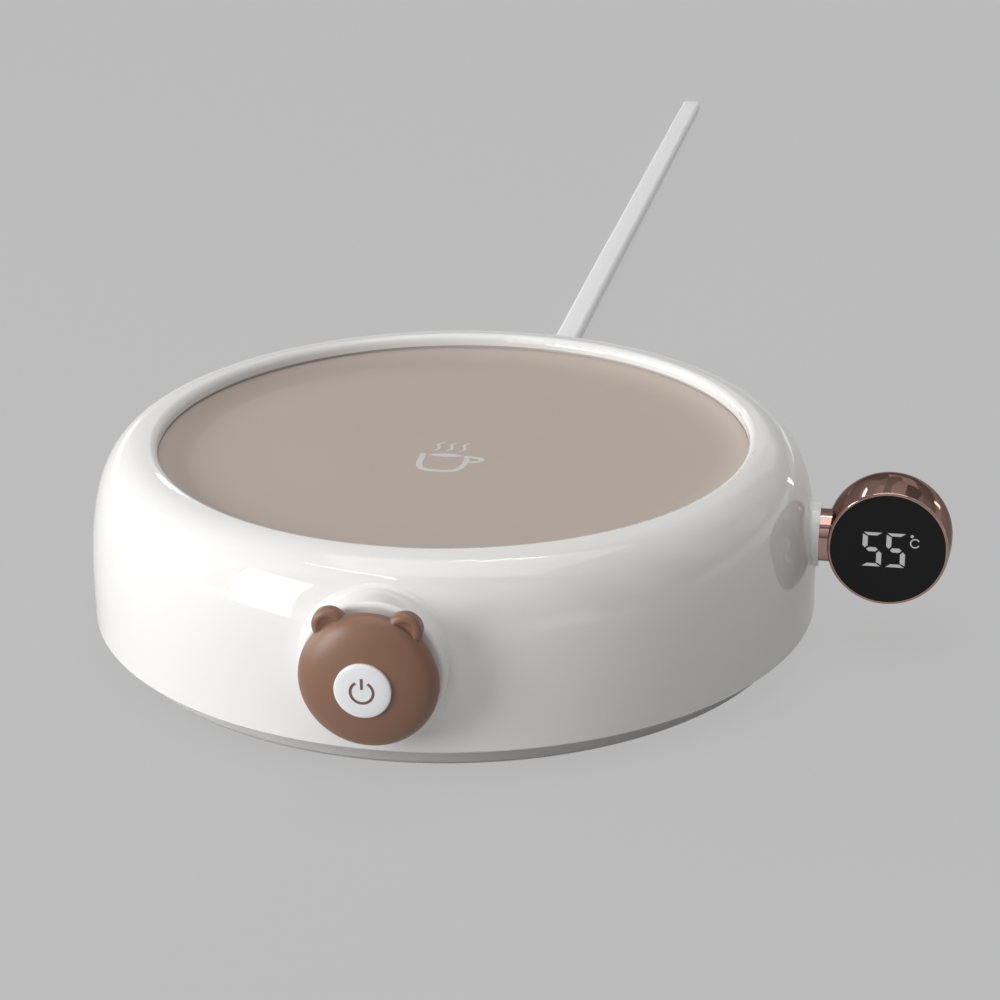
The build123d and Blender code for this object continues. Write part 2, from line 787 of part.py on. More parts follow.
# Controller chip, with its two rows of legs
chip_place = (-4.0, -8.0)
chip_length = 10.0
chip_width = 4.0
chip_height = 1.6
chip_standoff = 0.2
leg_pitch = 1.27
leg_count = 7
leg_width = 0.4
leg_reach = 1.0
leg_metal = 0.25
with BuildPart() as controller_chip:
    with BuildSketch(Plane.XY.offset(main_board_top + chip_standoff)):
        with Locations(chip_place):
            Rectangle(chip_length, chip_width)
    extrude(amount=chip_height)
    with BuildSketch(Plane.XY.offset(main_board_top + chip_standoff + chip_height / 2)):
        with Locations(chip_place):
            with GridLocations(leg_pitch, 0, leg_count, 1):
                Rectangle(leg_width, chip_width + leg_reach)
    extrude(amount=-leg_metal)
    with BuildSketch(Plane.XY.offset(main_board_top)):
        with Locations(chip_place):
            with GridLocations(leg_pitch, chip_width + 2 * leg_reach, leg_count, 2):
                Rectangle(leg_width, leg_reach)
    extrude(amount=chip_standoff + chip_height / 2)
controller_chip.part.label = "controller_chip"
export_step(controller_chip.part, "parts/controller_chip.step")


# Triac, lying on the board with its tab
triac_place = (10.0, 6.0)
triac_width = 10.0
triac_body = 9.0
triac_height = 4.5
triac_tab = 6.0
triac_tab_metal = 1.3
triac_hole = 1.8
with BuildPart() as power_triac:
    with BuildSketch(Plane.XY.offset(main_board_top)):
        with Locations(triac_place):
            Rectangle(triac_width, triac_body)
    extrude(amount=triac_height)
    with BuildSketch(Plane.XY.offset(main_board_top)):
        with Locations((triac_place[0], triac_place[1] - (triac_body + triac_tab) / 2)):
            Rectangle(triac_width, triac_tab)
            Circle(triac_hole, mode=Mode.SUBTRACT)
    extrude(amount=triac_tab_metal)
power_triac.part.label = "power_triac"
export_step(power_triac.part, "parts/power_triac.step")


# Capacitors
supply_capacitor_place = (-6.0, 5.0)
supply_capacitor_radius = 5.0
supply_capacitor_height = 12.0
can_round = 0.8
with BuildPart() as supply_capacitor:
    with BuildSketch(Plane.XY.offset(main_board_top)):
        with Locations(supply_capacitor_place):
            Circle(supply_capacitor_radius)
    extrude(amount=supply_capacitor_height)
    fillet(supply_capacitor.edges().group_by(Axis.Z)[-1], can_round)
supply_capacitor.part.label = "supply_capacitor"
export_step(supply_capacitor.part, "parts/supply_capacitor.step")

filter_capacitor_place = (-20.0, 3.0)
filter_capacitor_length = 13.0
filter_capacitor_width = 7.0
filter_capacitor_height = 11.0
with BuildPart() as filter_capacitor:
    with BuildSketch(Plane.XY.offset(main_board_top)):
        with Locations(filter_capacitor_place):
            Rectangle(filter_capacitor_length, filter_capacitor_width)
    extrude(amount=filter_capacitor_height)
    fillet(filter_capacitor.edges().group_by(Axis.Z)[-1], can_round)
filter_capacitor.part.label = "filter_capacitor"
export_step(filter_capacitor.part, "parts/filter_capacitor.step")


# Glass fuse in its two clips
fuse_tube_place = (3.0, 17.0)
fuse_tube_radius = 2.4
fuse_cap_radius = 2.6
fuse_tube_length = 20.0
fuse_cap_length = 5.0
fuse_tube_rise = 3.6
clip_metal = 0.4
clip_grip = 3.5
with BuildPart() as input_fuse:
    fuse_tube_start = fuse_tube_place[0] - fuse_tube_length / 2
    fuse_tube_height = main_board_top + fuse_tube_rise
    with BuildSketch(Plane(origin=(fuse_tube_start, fuse_tube_place[1], fuse_tube_height),
                           x_dir=(0, 1, 0), z_dir=(1, 0, 0))):
        Circle(fuse_tube_radius)
    extrude(amount=fuse_tube_length)
    for cap_start in (fuse_tube_start, fuse_tube_start + fuse_tube_length - fuse_cap_length):
        with BuildSketch(Plane(origin=(cap_start, fuse_tube_place[1], fuse_tube_height),
                               x_dir=(0, 1, 0), z_dir=(1, 0, 0))):
            Circle(fuse_cap_radius)
        extrude(amount=fuse_cap_length)
input_fuse.part.label = "input_fuse"
export_step(input_fuse.part, "parts/input_fuse.step")

with BuildPart() as fuse_clips:
    for clip_side in (-1, 1):
        clip_middle = fuse_tube_place[0] + clip_side * (fuse_tube_length - fuse_cap_length) / 2
        with BuildSketch(Plane(origin=(clip_middle - clip_grip / 2, fuse_tube_place[1], main_board_top),
                               x_dir=(0, 1, 0), z_dir=(1, 0, 0))):
            with Locations((0, fuse_tube_rise / 2)):
                Rectangle(2 * (fuse_cap_radius + clip_metal), fuse_tube_rise)
            with Locations((0, fuse_tube_rise)):
                Circle(fuse_cap_radius, mode=Mode.SUBTRACT)
            with Locations((0, clip_metal + fuse_tube_rise / 2)):
                Rectangle(2 * fuse_cap_radius, fuse_tube_rise, mode=Mode.SUBTRACT)
        extrude(amount=clip_grip)
fuse_clips.part.label = "fuse_clips"
export_step(fuse_clips.part, "parts/fuse_clips.step")


# Buzzer
buzzer_place = (-20.0, -12.0)
buzzer_radius = 6.0
buzzer_height = 5.5
buzzer_hole = 1.0
with BuildPart() as buzzer:
    with BuildSketch(Plane.XY.offset(main_board_top)):
        with Locations(buzzer_place):
            Circle(buzzer_radius)
    extrude(amount=buzzer_height)
    fillet(buzzer.edges().group_by(Axis.Z)[-1], can_round)
    with BuildSketch(Plane.XY.offset(main_board_top + buzzer_height)):
        with Locations(buzzer_place):
            Circle(buzzer_hole)
    extrude(amount=-buzzer_height / 2, mode=Mode.SUBTRACT)
buzzer.part.label = "buzzer"
export_step(buzzer.part, "parts/buzzer.step")


# Terminals: the cord's two wires enter one from behind, the heater's wires leave the other upwards
mains_terminal_place = (-17.0, 16.0)
mains_terminal_width = 12.0
mains_terminal_depth = 9.0
terminal_height = 9.0
terminal_pitch = 5.0
terminal_mouth = 1.6
terminal_mouth_height = 4.0
terminal_screw_radius = 1.6
heater_terminal_place = (20.0, 14.5)
heater_terminal_width = 9.0
heater_terminal_depth = 8.0
heater_terminal_height = 7.0
mouth_depth = 5.0
mains_terminal_back = mains_terminal_place[1] + mains_terminal_depth / 2
with BuildPart() as mains_terminal:
    with BuildSketch(Plane.XY.offset(main_board_top)):
        with Locations(mains_terminal_place):
            Rectangle(mains_terminal_width, mains_terminal_depth)
    extrude(amount=terminal_height)
    with BuildSketch(Plane(origin=(mains_terminal_place[0], mains_terminal_back,
                                   main_board_top + terminal_mouth_height),
                           x_dir=(-1, 0, 0), z_dir=(0, 1, 0))):
        with GridLocations(terminal_pitch, 0, 2, 1):
            Circle(terminal_mouth)
    extrude(amount=-mouth_depth, mode=Mode.SUBTRACT)
    with BuildSketch(Plane.XY.offset(main_board_top + terminal_height)):
        with Locations(mains_terminal_place):
            with GridLocations(terminal_pitch, 0, 2, 1):
                Circle(terminal_screw_radius)
    extrude(amount=-terminal_screw_radius, mode=Mode.SUBTRACT)
mains_terminal.part.label = "mains_terminal"
export_step(mains_terminal.part, "parts/mains_terminal.step")

with BuildPart() as heater_terminal:
    with BuildSketch(Plane.XY.offset(main_board_top)):
        with Locations(heater_terminal_place):
            Rectangle(heater_terminal_width, heater_terminal_depth)
    extrude(amount=heater_terminal_height)
    with BuildSketch(Plane.XY.offset(main_board_top + heater_terminal_height)):
        with Locations(heater_terminal_place):
            with GridLocations(terminal_pitch, 0, 2, 1):
                Circle(wire_radius)
    extrude(amount=-mouth_depth, mode=Mode.SUBTRACT)
heater_terminal.part.label = "heater_terminal"
export_step(heater_terminal.part, "parts/heater_terminal.step")


# Plug-in sockets for the switch, the sensor and the display
socket_length = 7.5
socket_depth = 5.0
socket_height = 6.0
socket_wall = 0.8
switch_socket_place = (0.0, -18.0)
sensor_socket_place = (14.0, -17.5)
display_socket_place = (24.0, -6.0)
socket_wire_height = main_board_top + socket_height / 2
with BuildPart() as switch_socket:
    with BuildSketch(Plane.XY.offset(main_board_top)):
        with Locations(switch_socket_place):
            Rectangle(socket_length, socket_depth)
    extrude(amount=socket_height)
    with BuildSketch(Plane(origin=(switch_socket_place[0], switch_socket_place[1] - socket_depth / 2,
                                   socket_wire_height), x_dir=(1, 0, 0), z_dir=(0, -1, 0))):
        Rectangle(socket_length - 2 * socket_wall, socket_height - 2 * socket_wall)
    extrude(amount=-socket_depth + socket_wall, mode=Mode.SUBTRACT)
switch_socket.part.label = "switch_socket"
export_step(switch_socket.part, "parts/switch_socket.step")

with BuildPart() as sensor_socket:
    with BuildSketch(Plane.XY.offset(main_board_top)):
        with Locations(sensor_socket_place):
            Rectangle(socket_length, socket_depth)
    extrude(amount=socket_height)
    with BuildSketch(Plane.XY.offset(main_board_top + socket_height)):
        with Locations(sensor_socket_place):
            Rectangle(socket_length - 2 * socket_wall, socket_depth - 2 * socket_wall)
    extrude(amount=-socket_height + socket_wall, mode=Mode.SUBTRACT)
sensor_socket.part.label = "sensor_socket"
export_step(sensor_socket.part, "parts/sensor_socket.step")

with BuildPart() as display_socket:
    with BuildSketch(Plane.XY.offset(main_board_top)):
        with Locations(display_socket_place):
            Rectangle(socket_depth, socket_length)
    extrude(amount=socket_height)
    with BuildSketch(Plane(origin=(display_socket_place[0] + socket_depth / 2, display_socket_place[1],
                                   socket_wire_height), x_dir=(0, 1, 0), z_dir=(1, 0, 0))):
        Rectangle(socket_length - 2 * socket_wall, socket_height - 2 * socket_wall)
    extrude(amount=-socket_depth + socket_wall, mode=Mode.SUBTRACT)
display_socket.part.label = "display_socket"
export_step(display_socket.part, "parts/display_socket.step")


# Button cap: two dished ears behind a domed front, hollow at the back, with a socket for its stem
cap_dome_start = cap_back - cap_back_round
with BuildPart() as button_cap:
    for ear_side in (-ear_bump_side, ear_bump_side):
        with BuildSketch(facing_front(cap_back)):
            with Locations((ear_side, ear_bump_rise)):
                Circle(ear_bump_radius)
        extrude(amount=ear_bump_depth)
    ear_front = cap_back - ear_bump_depth
    ear_rims = [
        edge
        for edge in button_cap.edges().filter_by(GeomType.CIRCLE)
        if abs((edge @ 0.3).Y - ear_front) < 0.01
    ]
    fillet(ear_rims, ear_bump_round)
    for ear_side in (-ear_bump_side, ear_bump_side):
        dish_sphere = (ear_dish_radius**2 + ear_dish_depth**2) / (2 * ear_dish_depth)
        with Locations((ear_side, ear_front + ear_dish_depth - dish_sphere, button_height + ear_bump_rise)):
            Sphere(dish_sphere, mode=Mode.SUBTRACT)
    with BuildSketch(button_section):
        with BuildLine():
            Polyline((0, cap_front), (0, cap_back), (cap_radius - cap_back_round, cap_back))
            JernArc((cap_radius - cap_back_round, cap_back), (1, 0), cap_back_round, -90)
            Bezier(
                (cap_radius, cap_dome_start),
                (cap_radius, cap_dome_start + cap_fullness * (cap_front - cap_dome_start)),
                (cap_fullness * cap_radius, cap_front),
                (0, cap_front),
            )
        make_face()
    revolve(axis=button_axis)
    with BuildSketch(facing_front(cap_back)):
        Circle(cap_hollow_radius)
        Circle(stem_radius + stem_socket_wall, mode=Mode.SUBTRACT)
    extrude(amount=cap_hollow_depth, mode=Mode.SUBTRACT)
    with BuildSketch(facing_front(cap_ceiling + stem_socket_length)):
        Circle(stem_radius + stem_socket_wall)
    extrude(amount=stem_socket_length)
    with BuildSketch(facing_front(cap_ceiling + stem_socket_length)):
        Circle(stem_radius)
    extrude(amount=cap_ceiling + stem_socket_length - stem_start, mode=Mode.SUBTRACT)
    with BuildSketch(facing_front(cap_front + inlay_seat)):
        Circle(inlay_radius + inlay_play)
    extrude(amount=2 * inlay_seat, mode=Mode.SUBTRACT)
button_cap.part.label = "button_cap"
export_step(button_cap.part, "parts/button_cap.step")


# White disc in the cap's front
with BuildPart() as button_inlay:
    inlay_back = cap_front + inlay_seat
    inlay_rim = cap_front - inlay_proud
    inlay_front = inlay_rim - inlay_crown
    with BuildSketch(button_section):
        with BuildLine():
            Polyline((0, inlay_front), (0, inlay_back), (inlay_radius, inlay_back),
                     (inlay_radius, inlay_rim + inlay_crown))
            Bezier(
                (inlay_radius, inlay_rim + inlay_crown),
                (inlay_radius, inlay_rim),
                (inlay_radius - 2 * inlay_proud, inlay_front),
                (0, inlay_front),
            )
        make_face()
    revolve(axis=button_axis)
button_inlay.part.label = "button_inlay"
export_step(button_inlay.part, "parts/button_inlay.step")


# Stem, with the groove of its clip
with BuildPart() as button_stem:
    with BuildSketch(facing_front(stem_end)):
        Circle(stem_radius)
    extrude(amount=stem_end - stem_start)
    with BuildSketch(facing_front(clip_start + clip_thickness)):
        Circle(stem_radius)
        Circle(stem_radius - clip_groove, mode=Mode.SUBTRACT)
    extrude(amount=clip_thickness, mode=Mode.SUBTRACT)
button_stem.part.label = "button_stem"
export_step(button_stem.part, "parts/button_stem.step")

with BuildPart() as stem_clip:
    clip_mouth = 1.4 * (stem_radius - clip_groove)
    with BuildSketch(facing_front(clip_start + clip_thickness)):
        Circle(clip_radius)
        Circle(stem_radius - clip_groove, mode=Mode.SUBTRACT)
        with Locations((0, -clip_radius / 2)):
            Rectangle(clip_mouth, clip_radius, mode=Mode.SUBTRACT)
    extrude(amount=clip_thickness)
stem_clip.part.label = "stem_clip"
export_step(stem_clip.part, "parts/stem_clip.step")


# Return spring, between the cap's ceiling and the pocket's floor
spring_start = cap_ceiling + spring_wire
spring_length = pocket_end - spring_wire - spring_start
with BuildPart() as button_spring:
    with BuildLine() as coil:
        Helix(
            pitch=spring_length / spring_turns,
            height=spring_length,
            radius=spring_mean_radius,
            center=(0, spring_start, button_height),
            direction=(0, 1, 0),
        )
    with BuildSketch(Plane(origin=coil.line @ 0, z_dir=coil.line % 0)):
        Circle(spring_wire)
    sweep(is_frenet=True)
button_spring.part.label = "button_spring"
export_step(button_spring.part, "parts/button_spring.step")


# Key switch on its upright board
with BuildPart() as switch_plunger:
    with BuildSketch(facing_front(stem_end + plunger_length)):
        Circle(plunger_radius)
    extrude(amount=plunger_length)
switch_plunger.part.label = "switch_plunger"
export_step(switch_plunger.part, "parts/switch_plunger.step")

with BuildPart() as switch_body:
    with BuildSketch(facing_front(switch_back)):
        Rectangle(switch_side, switch_side)
    extrude(amount=switch_depth)
    plunger_hole = plunger_length - plunger_proud + button_travel + plunger_room
    with BuildSketch(facing_front(switch_front)):
        Circle(plunger_radius + stem_play)
    extrude(amount=-plunger_hole, mode=Mode.SUBTRACT)
switch_body.part.label = "switch_body"
export_step(switch_body.part, "parts/switch_body.step")

with BuildPart() as switch_board:
    with BuildSketch(Plane.XY.offset(base_floor_top)):
        with Locations((0, board_guide_middle)):
            Rectangle(switch_board_width, board_thickness)
    extrude(amount=switch_board_top - base_floor_top)
switch_board.part.label = "switch_board"
export_step(switch_board.part, "parts/switch_board.step")


# Display pod: the hollow with its posts, then the housing round it
board_back = -pod_front + window_thickness + module_gap + module_depth + display_board_thickness
with BuildPart() as pod_hollow:
    with BuildSketch(pod_section):
        with BuildLine():
            hollow_dome = pod_dome - pod_wall
            hollow_radius = pod_radius - pod_wall
            Polyline(
                (0, -2 * pod_front),
                (window_radius + window_play, -2 * pod_front),
                (window_radius + window_play, -pod_front + window_thickness),
                (window_radius - window_ledge, -pod_front + window_thickness),
                (window_radius - window_ledge, -pod_front + window_thickness + pod_wall),
                (hollow_radius, -pod_front + window_thickness + 2 * pod_wall),
                (hollow_radius, pod_waist),
            )
            Bezier(
                (hollow_radius, pod_waist),
                (hollow_radius, pod_waist + pod_fullness * hollow_dome),
                (pod_fullness * hollow_radius, pod_waist + hollow_dome),
                (0, pod_waist + hollow_dome),
            )
            Line((0, pod_waist + hollow_dome), (0, -2 * pod_front))
        make_face()
    revolve(axis=pod_axis)
    with BuildSketch(Plane(origin=(pod_centre, board_back, pod_height), x_dir=(-1, 0, 0), z_dir=(0, 1, 0))):
        with PolarLocations(pod_post_circle, 3):
            Circle(pod_post_radius)
    extrude(amount=pod_dome + pod_waist, mode=Mode.SUBTRACT)

with BuildPart() as pod_housing:
    with BuildSketch(pod_section):
        with BuildLine():
            Line((0, -pod_front), (pod_rim_radius - pod_rim_round, -pod_front))
            rim_arc = JernArc(
                (pod_rim_radius - pod_rim_round, -pod_front), (1, 0), pod_rim_round, 90 - pod_flare
            )
            Spline(rim_arc @ 1, (pod_radius, pod_waist), tangents=[rim_arc % 1, (0, 1)])
            Bezier(
                (pod_radius, pod_waist),
                (pod_radius, pod_waist + pod_fullness * pod_dome),
                (pod_fullness * pod_radius, pod_waist + pod_dome),
                (0, pod_waist + pod_dome),
            )
            Line((0, pod_waist + pod_dome), (0, -pod_front))
        make_face()
    revolve(axis=pod_axis)
    add(pod_hollow.part, mode=Mode.SUBTRACT)
    with BuildSketch(facing_right(body_radius)):
        Circle(neck_radius)
    extrude(amount=neck_end - body_radius + pod_wall, mode=Mode.SUBTRACT)
pod_housing.part.label = "pod_housing"
export_step(pod_housing.part, "parts/pod_housing.step")

with BuildPart() as display_window:
    with BuildSketch(pod_section):
        with BuildLine():
            Polyline(
                (0, -pod_front),
                (window_radius, -pod_front),
                (window_radius, -pod_front + window_thickness),
                (0, -pod_front + window_thickness),
                close=True,
            )
        make_face()
    revolve(axis=pod_axis)
display_window.part.label = "display_window"
export_step(display_window.part, "parts/display_window.step")


def facing_viewer(y):
    """The upright plane at y on the pod's own axis, looking out of the window."""
    return Plane(origin=(pod_centre, y, pod_height), x_dir=(1, 0, 0), z_dir=(0, -1, 0))


module_back = board_back - display_board_thickness
with BuildPart() as display_module:
    with BuildSketch(facing_viewer(module_back)):
        Rectangle(module_width, module_height)
    extrude(amount=module_depth)
display_module.part.label = "display_module"
export_step(display_module.part, "parts/display_module.step")

with BuildPart() as display_board:
    with BuildSketch(facing_viewer(board_back)):
        Circle(display_board_radius)
    extrude(amount=display_board_thickness)
display_board.part.label = "display_board"
export_step(display_board.part, "parts/display_board.step")


# Neck, its friction ring, its stop collar and the bush that it turns in
with BuildPart() as pod_neck:
    with BuildSketch(facing_right(neck_start)):
        Circle(neck_radius)
        Circle(neck_bore, mode=Mode.SUBTRACT)
    extrude(amount=neck_end - neck_start)
    with BuildSketch(facing_right(ring_groove_centre - ring_groove_width / 2)):
        Circle(neck_radius)
        Circle(neck_radius - ring_groove_depth, mode=Mode.SUBTRACT)
    extrude(amount=ring_groove_width, mode=Mode.SUBTRACT)
    add(pod_hollow.part, mode=Mode.SUBTRACT)
pod_neck.part.label = "pod_neck"
export_step(pod_neck.part, "parts/pod_neck.step")

with BuildPart() as friction_ring:
    with BuildSketch(neck_section):
        with Locations((ring_groove_centre, neck_radius - ring_groove_depth + ring_wire)):
            Circle(ring_wire)
    revolve(axis=neck_axis)
friction_ring.part.label = "friction_ring"
export_step(friction_ring.part, "parts/friction_ring.step")


def turned_section(angle):
    """The plane through the neck's axis, at this angle up from +Y."""
    across = (0, -sin(radians(angle)), cos(radians(angle)))
    return Plane(origin=(0, 0, pod_height), x_dir=(1, 0, 0), z_dir=across)


with BuildPart() as stop_collar:
    with BuildSketch(facing_right(collar_start)):
        Circle(collar_radius)
        Circle(neck_radius, mode=Mode.SUBTRACT)
    extrude(amount=collar_thickness)
    with BuildSketch(turned_section(tab_rest_angle - collar_tab_angle / 2)):
        with BuildLine():
            Polyline(
                (collar_end, collar_tab_inner),
                (collar_end + collar_tab_length, collar_tab_inner),
                (collar_end + collar_tab_length, collar_radius),
                (collar_end, collar_radius),
                close=True,
            )
        make_face()
    revolve(axis=neck_axis, revolution_arc=collar_tab_angle)
stop_collar.part.label = "stop_collar"
export_step(stop_collar.part, "parts/stop_collar.step")

with BuildPart() as neck_bush:
    with BuildSketch(facing_right(flange_start)):
        Circle(neck_inner_boss_radius)
    extrude(amount=bush_flange)
    with BuildSketch(facing_right(bush_start)):
        Circle(bush_radius)
    extrude(amount=bush_length)
    with BuildSketch(facing_right(flange_start)):
        Circle(neck_radius + neck_play)
    extrude(amount=bush_flange + bush_length, mode=Mode.SUBTRACT)
    notch_start = tab_rest_angle - swivel_up - collar_tab_angle / 2 - stop_play_angle
    notch_angle = swivel_up + swivel_down + collar_tab_angle + 2 * stop_play_angle
    with BuildSketch(turned_section(notch_start)):
        with BuildLine():
            Polyline(
                (flange_start, collar_tab_inner - hole_play),
                (bush_start, collar_tab_inner - hole_play),
                (bush_start, collar_radius + hole_play),
                (flange_start, collar_radius + hole_play),
                close=True,
            )
        make_face()
    revolve(axis=neck_axis, revolution_arc=notch_angle, mode=Mode.SUBTRACT)
neck_bush.part.label = "neck_bush"
export_step(neck_bush.part, "parts/neck_bush.step")


# Strain relief: a flange each side of the shell's wall and a ringed, tapering tail
with BuildPart() as cord_strain_relief:
    collar_front = body_radius + relief_wall_gap
    tail_start = collar_front + relief_collar
    ring_pitch = (relief_end - tail_start) / relief_rings
    with BuildSketch(cord_section):
        with BuildLine():
            outline = [
                (0, relief_start),
                (relief_flange_radius, relief_start),
                (relief_flange_radius, relief_start + relief_flange),
                (relief_hole_radius - relief_play, relief_start + relief_flange),
                (relief_hole_radius - relief_play, collar_front),
                (relief_collar_radius, collar_front),
                (relief_collar_radius, tail_start),
            ]
            for ring in range(relief_rings):
                narrowing = (relief_root_radius - relief_tip_radius) * ring / (relief_rings - 1)
                ring_radius = relief_root_radius - narrowing
                ring_end = tail_start + (ring + 1) * ring_pitch
                if ring > 0:
                    outline.append((ring_radius, tail_start + ring * ring_pitch))
                else:
                    outline.append((ring_radius, tail_start))
                outline.append((ring_radius, ring_end - relief_ring_gap))
                if ring < relief_rings - 1:
                    outline.append((ring_radius - relief_ring_depth, ring_end - relief_ring_gap))
                    outline.append((ring_radius - relief_ring_depth, ring_end))
                else:
                    outline.append((ring_radius, ring_end))
            outline.append((0, relief_end))
            Polyline(*outline, close=True)
        make_face()
    revolve(axis=cord_axis)
    with BuildSketch(facing_rear(relief_start)):
        RectangleRounded(cord_width, cord_thickness, cord_corner)
    extrude(amount=relief_end - relief_start, mode=Mode.SUBTRACT)
cord_strain_relief.part.label = "cord_strain_relief"
export_step(cord_strain_relief.part, "parts/cord_strain_relief.step")


# The cord's stretch through the strain relief and the clamp
with BuildPart() as cord_lead:
    with BuildSketch(facing_rear(lead_end)):
        RectangleRounded(cord_width, cord_thickness, cord_corner)
    extrude(amount=relief_end - lead_end)
cord_lead.part.label = "cord_lead"
export_step(cord_lead.part, "parts/cord_lead.step")

with BuildPart() as cord_clamp:
    clamp_bottom = cord_height + clamp_squeeze / 2
    with BuildSketch(Plane.XY.offset(clamp_bottom)):
        with Locations((0, clamp_middle)):
            RectangleRounded(clamp_width, clamp_length, clamp_squeeze)
        with Locations(*clamp_screw_places):
            Circle(small_screw_shank + hole_play, mode=Mode.SUBTRACT)
    extrude(amount=clamp_height)
    with BuildSketch(facing_rear(clamp_front)):
        RectangleRounded(cord_width, cord_thickness, cord_corner)
    extrude(amount=clamp_length, mode=Mode.SUBTRACT)
cord_clamp.part.label = "cord_clamp"
export_step(cord_clamp.part, "parts/cord_clamp.step")

with BuildPart() as clamp_screws:
    with BuildSketch(Plane.XY.offset(clamp_bottom + clamp_height)):
        with Locations(*clamp_screw_places):
            Circle(small_screw_head)
    extrude(amount=small_screw_head_height)
    with BuildSketch(Plane.XY.offset(clamp_bottom + clamp_height)):
        with Locations(*clamp_screw_places):
            Circle(small_screw_shank)
    extrude(amount=-clamp_height - clamp_squeeze - clamp_screw_bite)
clamp_screws.part.label = "clamp_screws"
export_step(clamp_screws.part, "parts/clamp_screws.step")


# Free cord: out of the strain relief, down to the table and nearly straight back along it
cord_route = [
    (0.0, relief_end, cord_height),
    (0.0, 98.5, cord_height),
    (-1.0, 112.0, 9.2),
    (-2.4, 126.0, 4.4),
    (-3.25, 142.0, 1.6),
    (-2.95, 166.0, 1.6),
    (-2.5, 204.0, 1.6),
    (-1.6, 258.0, 1.6),
    (-0.9, 315.0, 1.6),
    (-0.02, 372.0, 1.6),
]
route_points = [Vector(*point) for point in cord_route]
runs = [after - before for before, after in zip(route_points, route_points[1:])]
cord_radii = []
for run_in, run_out in zip(runs, runs[1:]):
    half_turn = radians(run_in.get_angle(run_out)) / 2
    cord_radii.append(0.45 * min(run_in.length, run_out.length) / tan(half_turn))
print("cord bend radii", [round(radius) for radius in cord_radii])
with BuildPart() as power_cord:
    with BuildLine() as cord_line:
        FilletPolyline(*cord_route, radius=cord_radii)
    with BuildSketch(facing_rear(relief_end)):
        RectangleRounded(cord_width, cord_thickness, cord_corner)
    sweep()
cord_length = sum(edge.length for edge in cord_line.edges())
section_area = cord_width * cord_thickness - (4 - pi) * cord_corner**2
tube_volume = section_area * cord_length
print("cord length", round(cord_length, 1), "volume", round(power_cord.part.volume / tube_volume, 4))
power_cord.part.label = "power_cord"
export_step(power_cord.part, "parts/power_cord.step")


# Wires inside the body
with BuildPart() as mains_wires:
    wire_gap = 1.3
    entry_height = main_board_top + terminal_mouth_height
    mains_wire_bend = 2.0
    # the straight stretches of each wire behind the cord's end and behind the terminal
    for side, cord_run, terminal_run in ((-1, 5.0, 7.5), (1, 8.0, 5.5)):
        entry_x = mains_terminal_place[0] + side * terminal_pitch / 2
        with BuildLine() as strand:
            FilletPolyline(
                (side * wire_gap, lead_end, cord_height),
                (side * wire_gap, lead_end - cord_run, cord_height),
                (entry_x, mains_terminal_back + terminal_run, entry_height),
                (entry_x, mains_terminal_back - mouth_depth, entry_height),
                radius=mains_wire_bend,
            )
        with BuildSketch(Plane(origin=strand.line @ 0, z_dir=strand.line % 0)):
            Circle(wire_radius)
        sweep()
mains_wires.part.label = "mains_wires"
export_step(mains_wires.part, "parts/mains_wires.step")

heater_terminal_top = main_board_top + heater_terminal_height
tab_left = heater_terminal_place[0] - terminal_pitch / 2
tab_right = heater_terminal_place[0] + terminal_pitch / 2
fuse_left = fuse_place[0] - fuse_length / 2 - fuse_lead_length
fuse_right = fuse_place[0] + fuse_length / 2 + fuse_lead_length
hole_x, hole_y = wire_hole_place
wire_bend = 2.0
low_run = fuse_axis_height - 3 * wire_radius
with BuildPart() as heater_wires:
    strands = (
        # from the terminal to the thermal fuse
        (
            (tab_left, heater_terminal_place[1], heater_terminal_top - mouth_depth),
            (tab_left, heater_terminal_place[1], fuse_axis_height),
            (fuse_right + wire_bend * 2, fuse_place[1], fuse_axis_height),
            (fuse_right, fuse_place[1], fuse_axis_height),
        ),
        # from the terminal to the heater
        (
            (tab_right, heater_terminal_place[1], heater_terminal_top - mouth_depth),
            (tab_right, heater_terminal_place[1], low_run),
            (hole_x + wire_side, hole_y, low_run),
            (hole_x + wire_side, hole_y, heater_bottom),
        ),
        # from the thermal fuse back to the heater
        (
            (fuse_left, fuse_place[1], fuse_axis_height),
            (fuse_left - wire_bend * 2, fuse_place[1], fuse_axis_height),
            (fuse_left - wire_bend * 2, fuse_place[1] + wire_bend * 4, fuse_axis_height),
            (hole_x - wire_side, fuse_place[1] + wire_bend * 4, fuse_axis_height - wire_bend),
            (hole_x - wire_side, hole_y, fuse_axis_height - wire_bend),
            (hole_x - wire_side, hole_y, heater_bottom),
        ),
    )
    for points in strands:
        with BuildLine() as strand:
            FilletPolyline(*points, radius=wire_bend * 0.9)
        with BuildSketch(Plane(origin=strand.line @ 0, z_dir=strand.line % 0)):
            Circle(wire_radius)
        sweep()
heater_wires.part.label = "heater_wires"
export_step(heater_wires.part, "parts/heater_wires.step")

with BuildPart() as sensor_wires:
    sensor_end = pan_bottom - sensor_flange - sensor_tail
    socket_floor = main_board_top + socket_wall
    for side in (-1, 1):
        with BuildLine() as strand:
            FilletPolyline(
                (sensor_place[0] + side * wire_side, sensor_place[1], sensor_end),
                (sensor_place[0] + side * wire_side, sensor_place[1], sensor_end - 2 * wire_bend),
                (sensor_socket_place[0] + side * wire_side, sensor_socket_place[1],
                 main_board_top + socket_height + wire_bend),
                (sensor_socket_place[0] + side * wire_side, sensor_socket_place[1], socket_floor),
                radius=wire_bend / 2,
            )
        with BuildSketch(Plane(origin=strand.line @ 0, z_dir=strand.line % 0)):
            Circle(thin_wire_radius)
        sweep()
sensor_wires.part.label = "sensor_wires"
export_step(sensor_wires.part, "parts/sensor_wires.step")

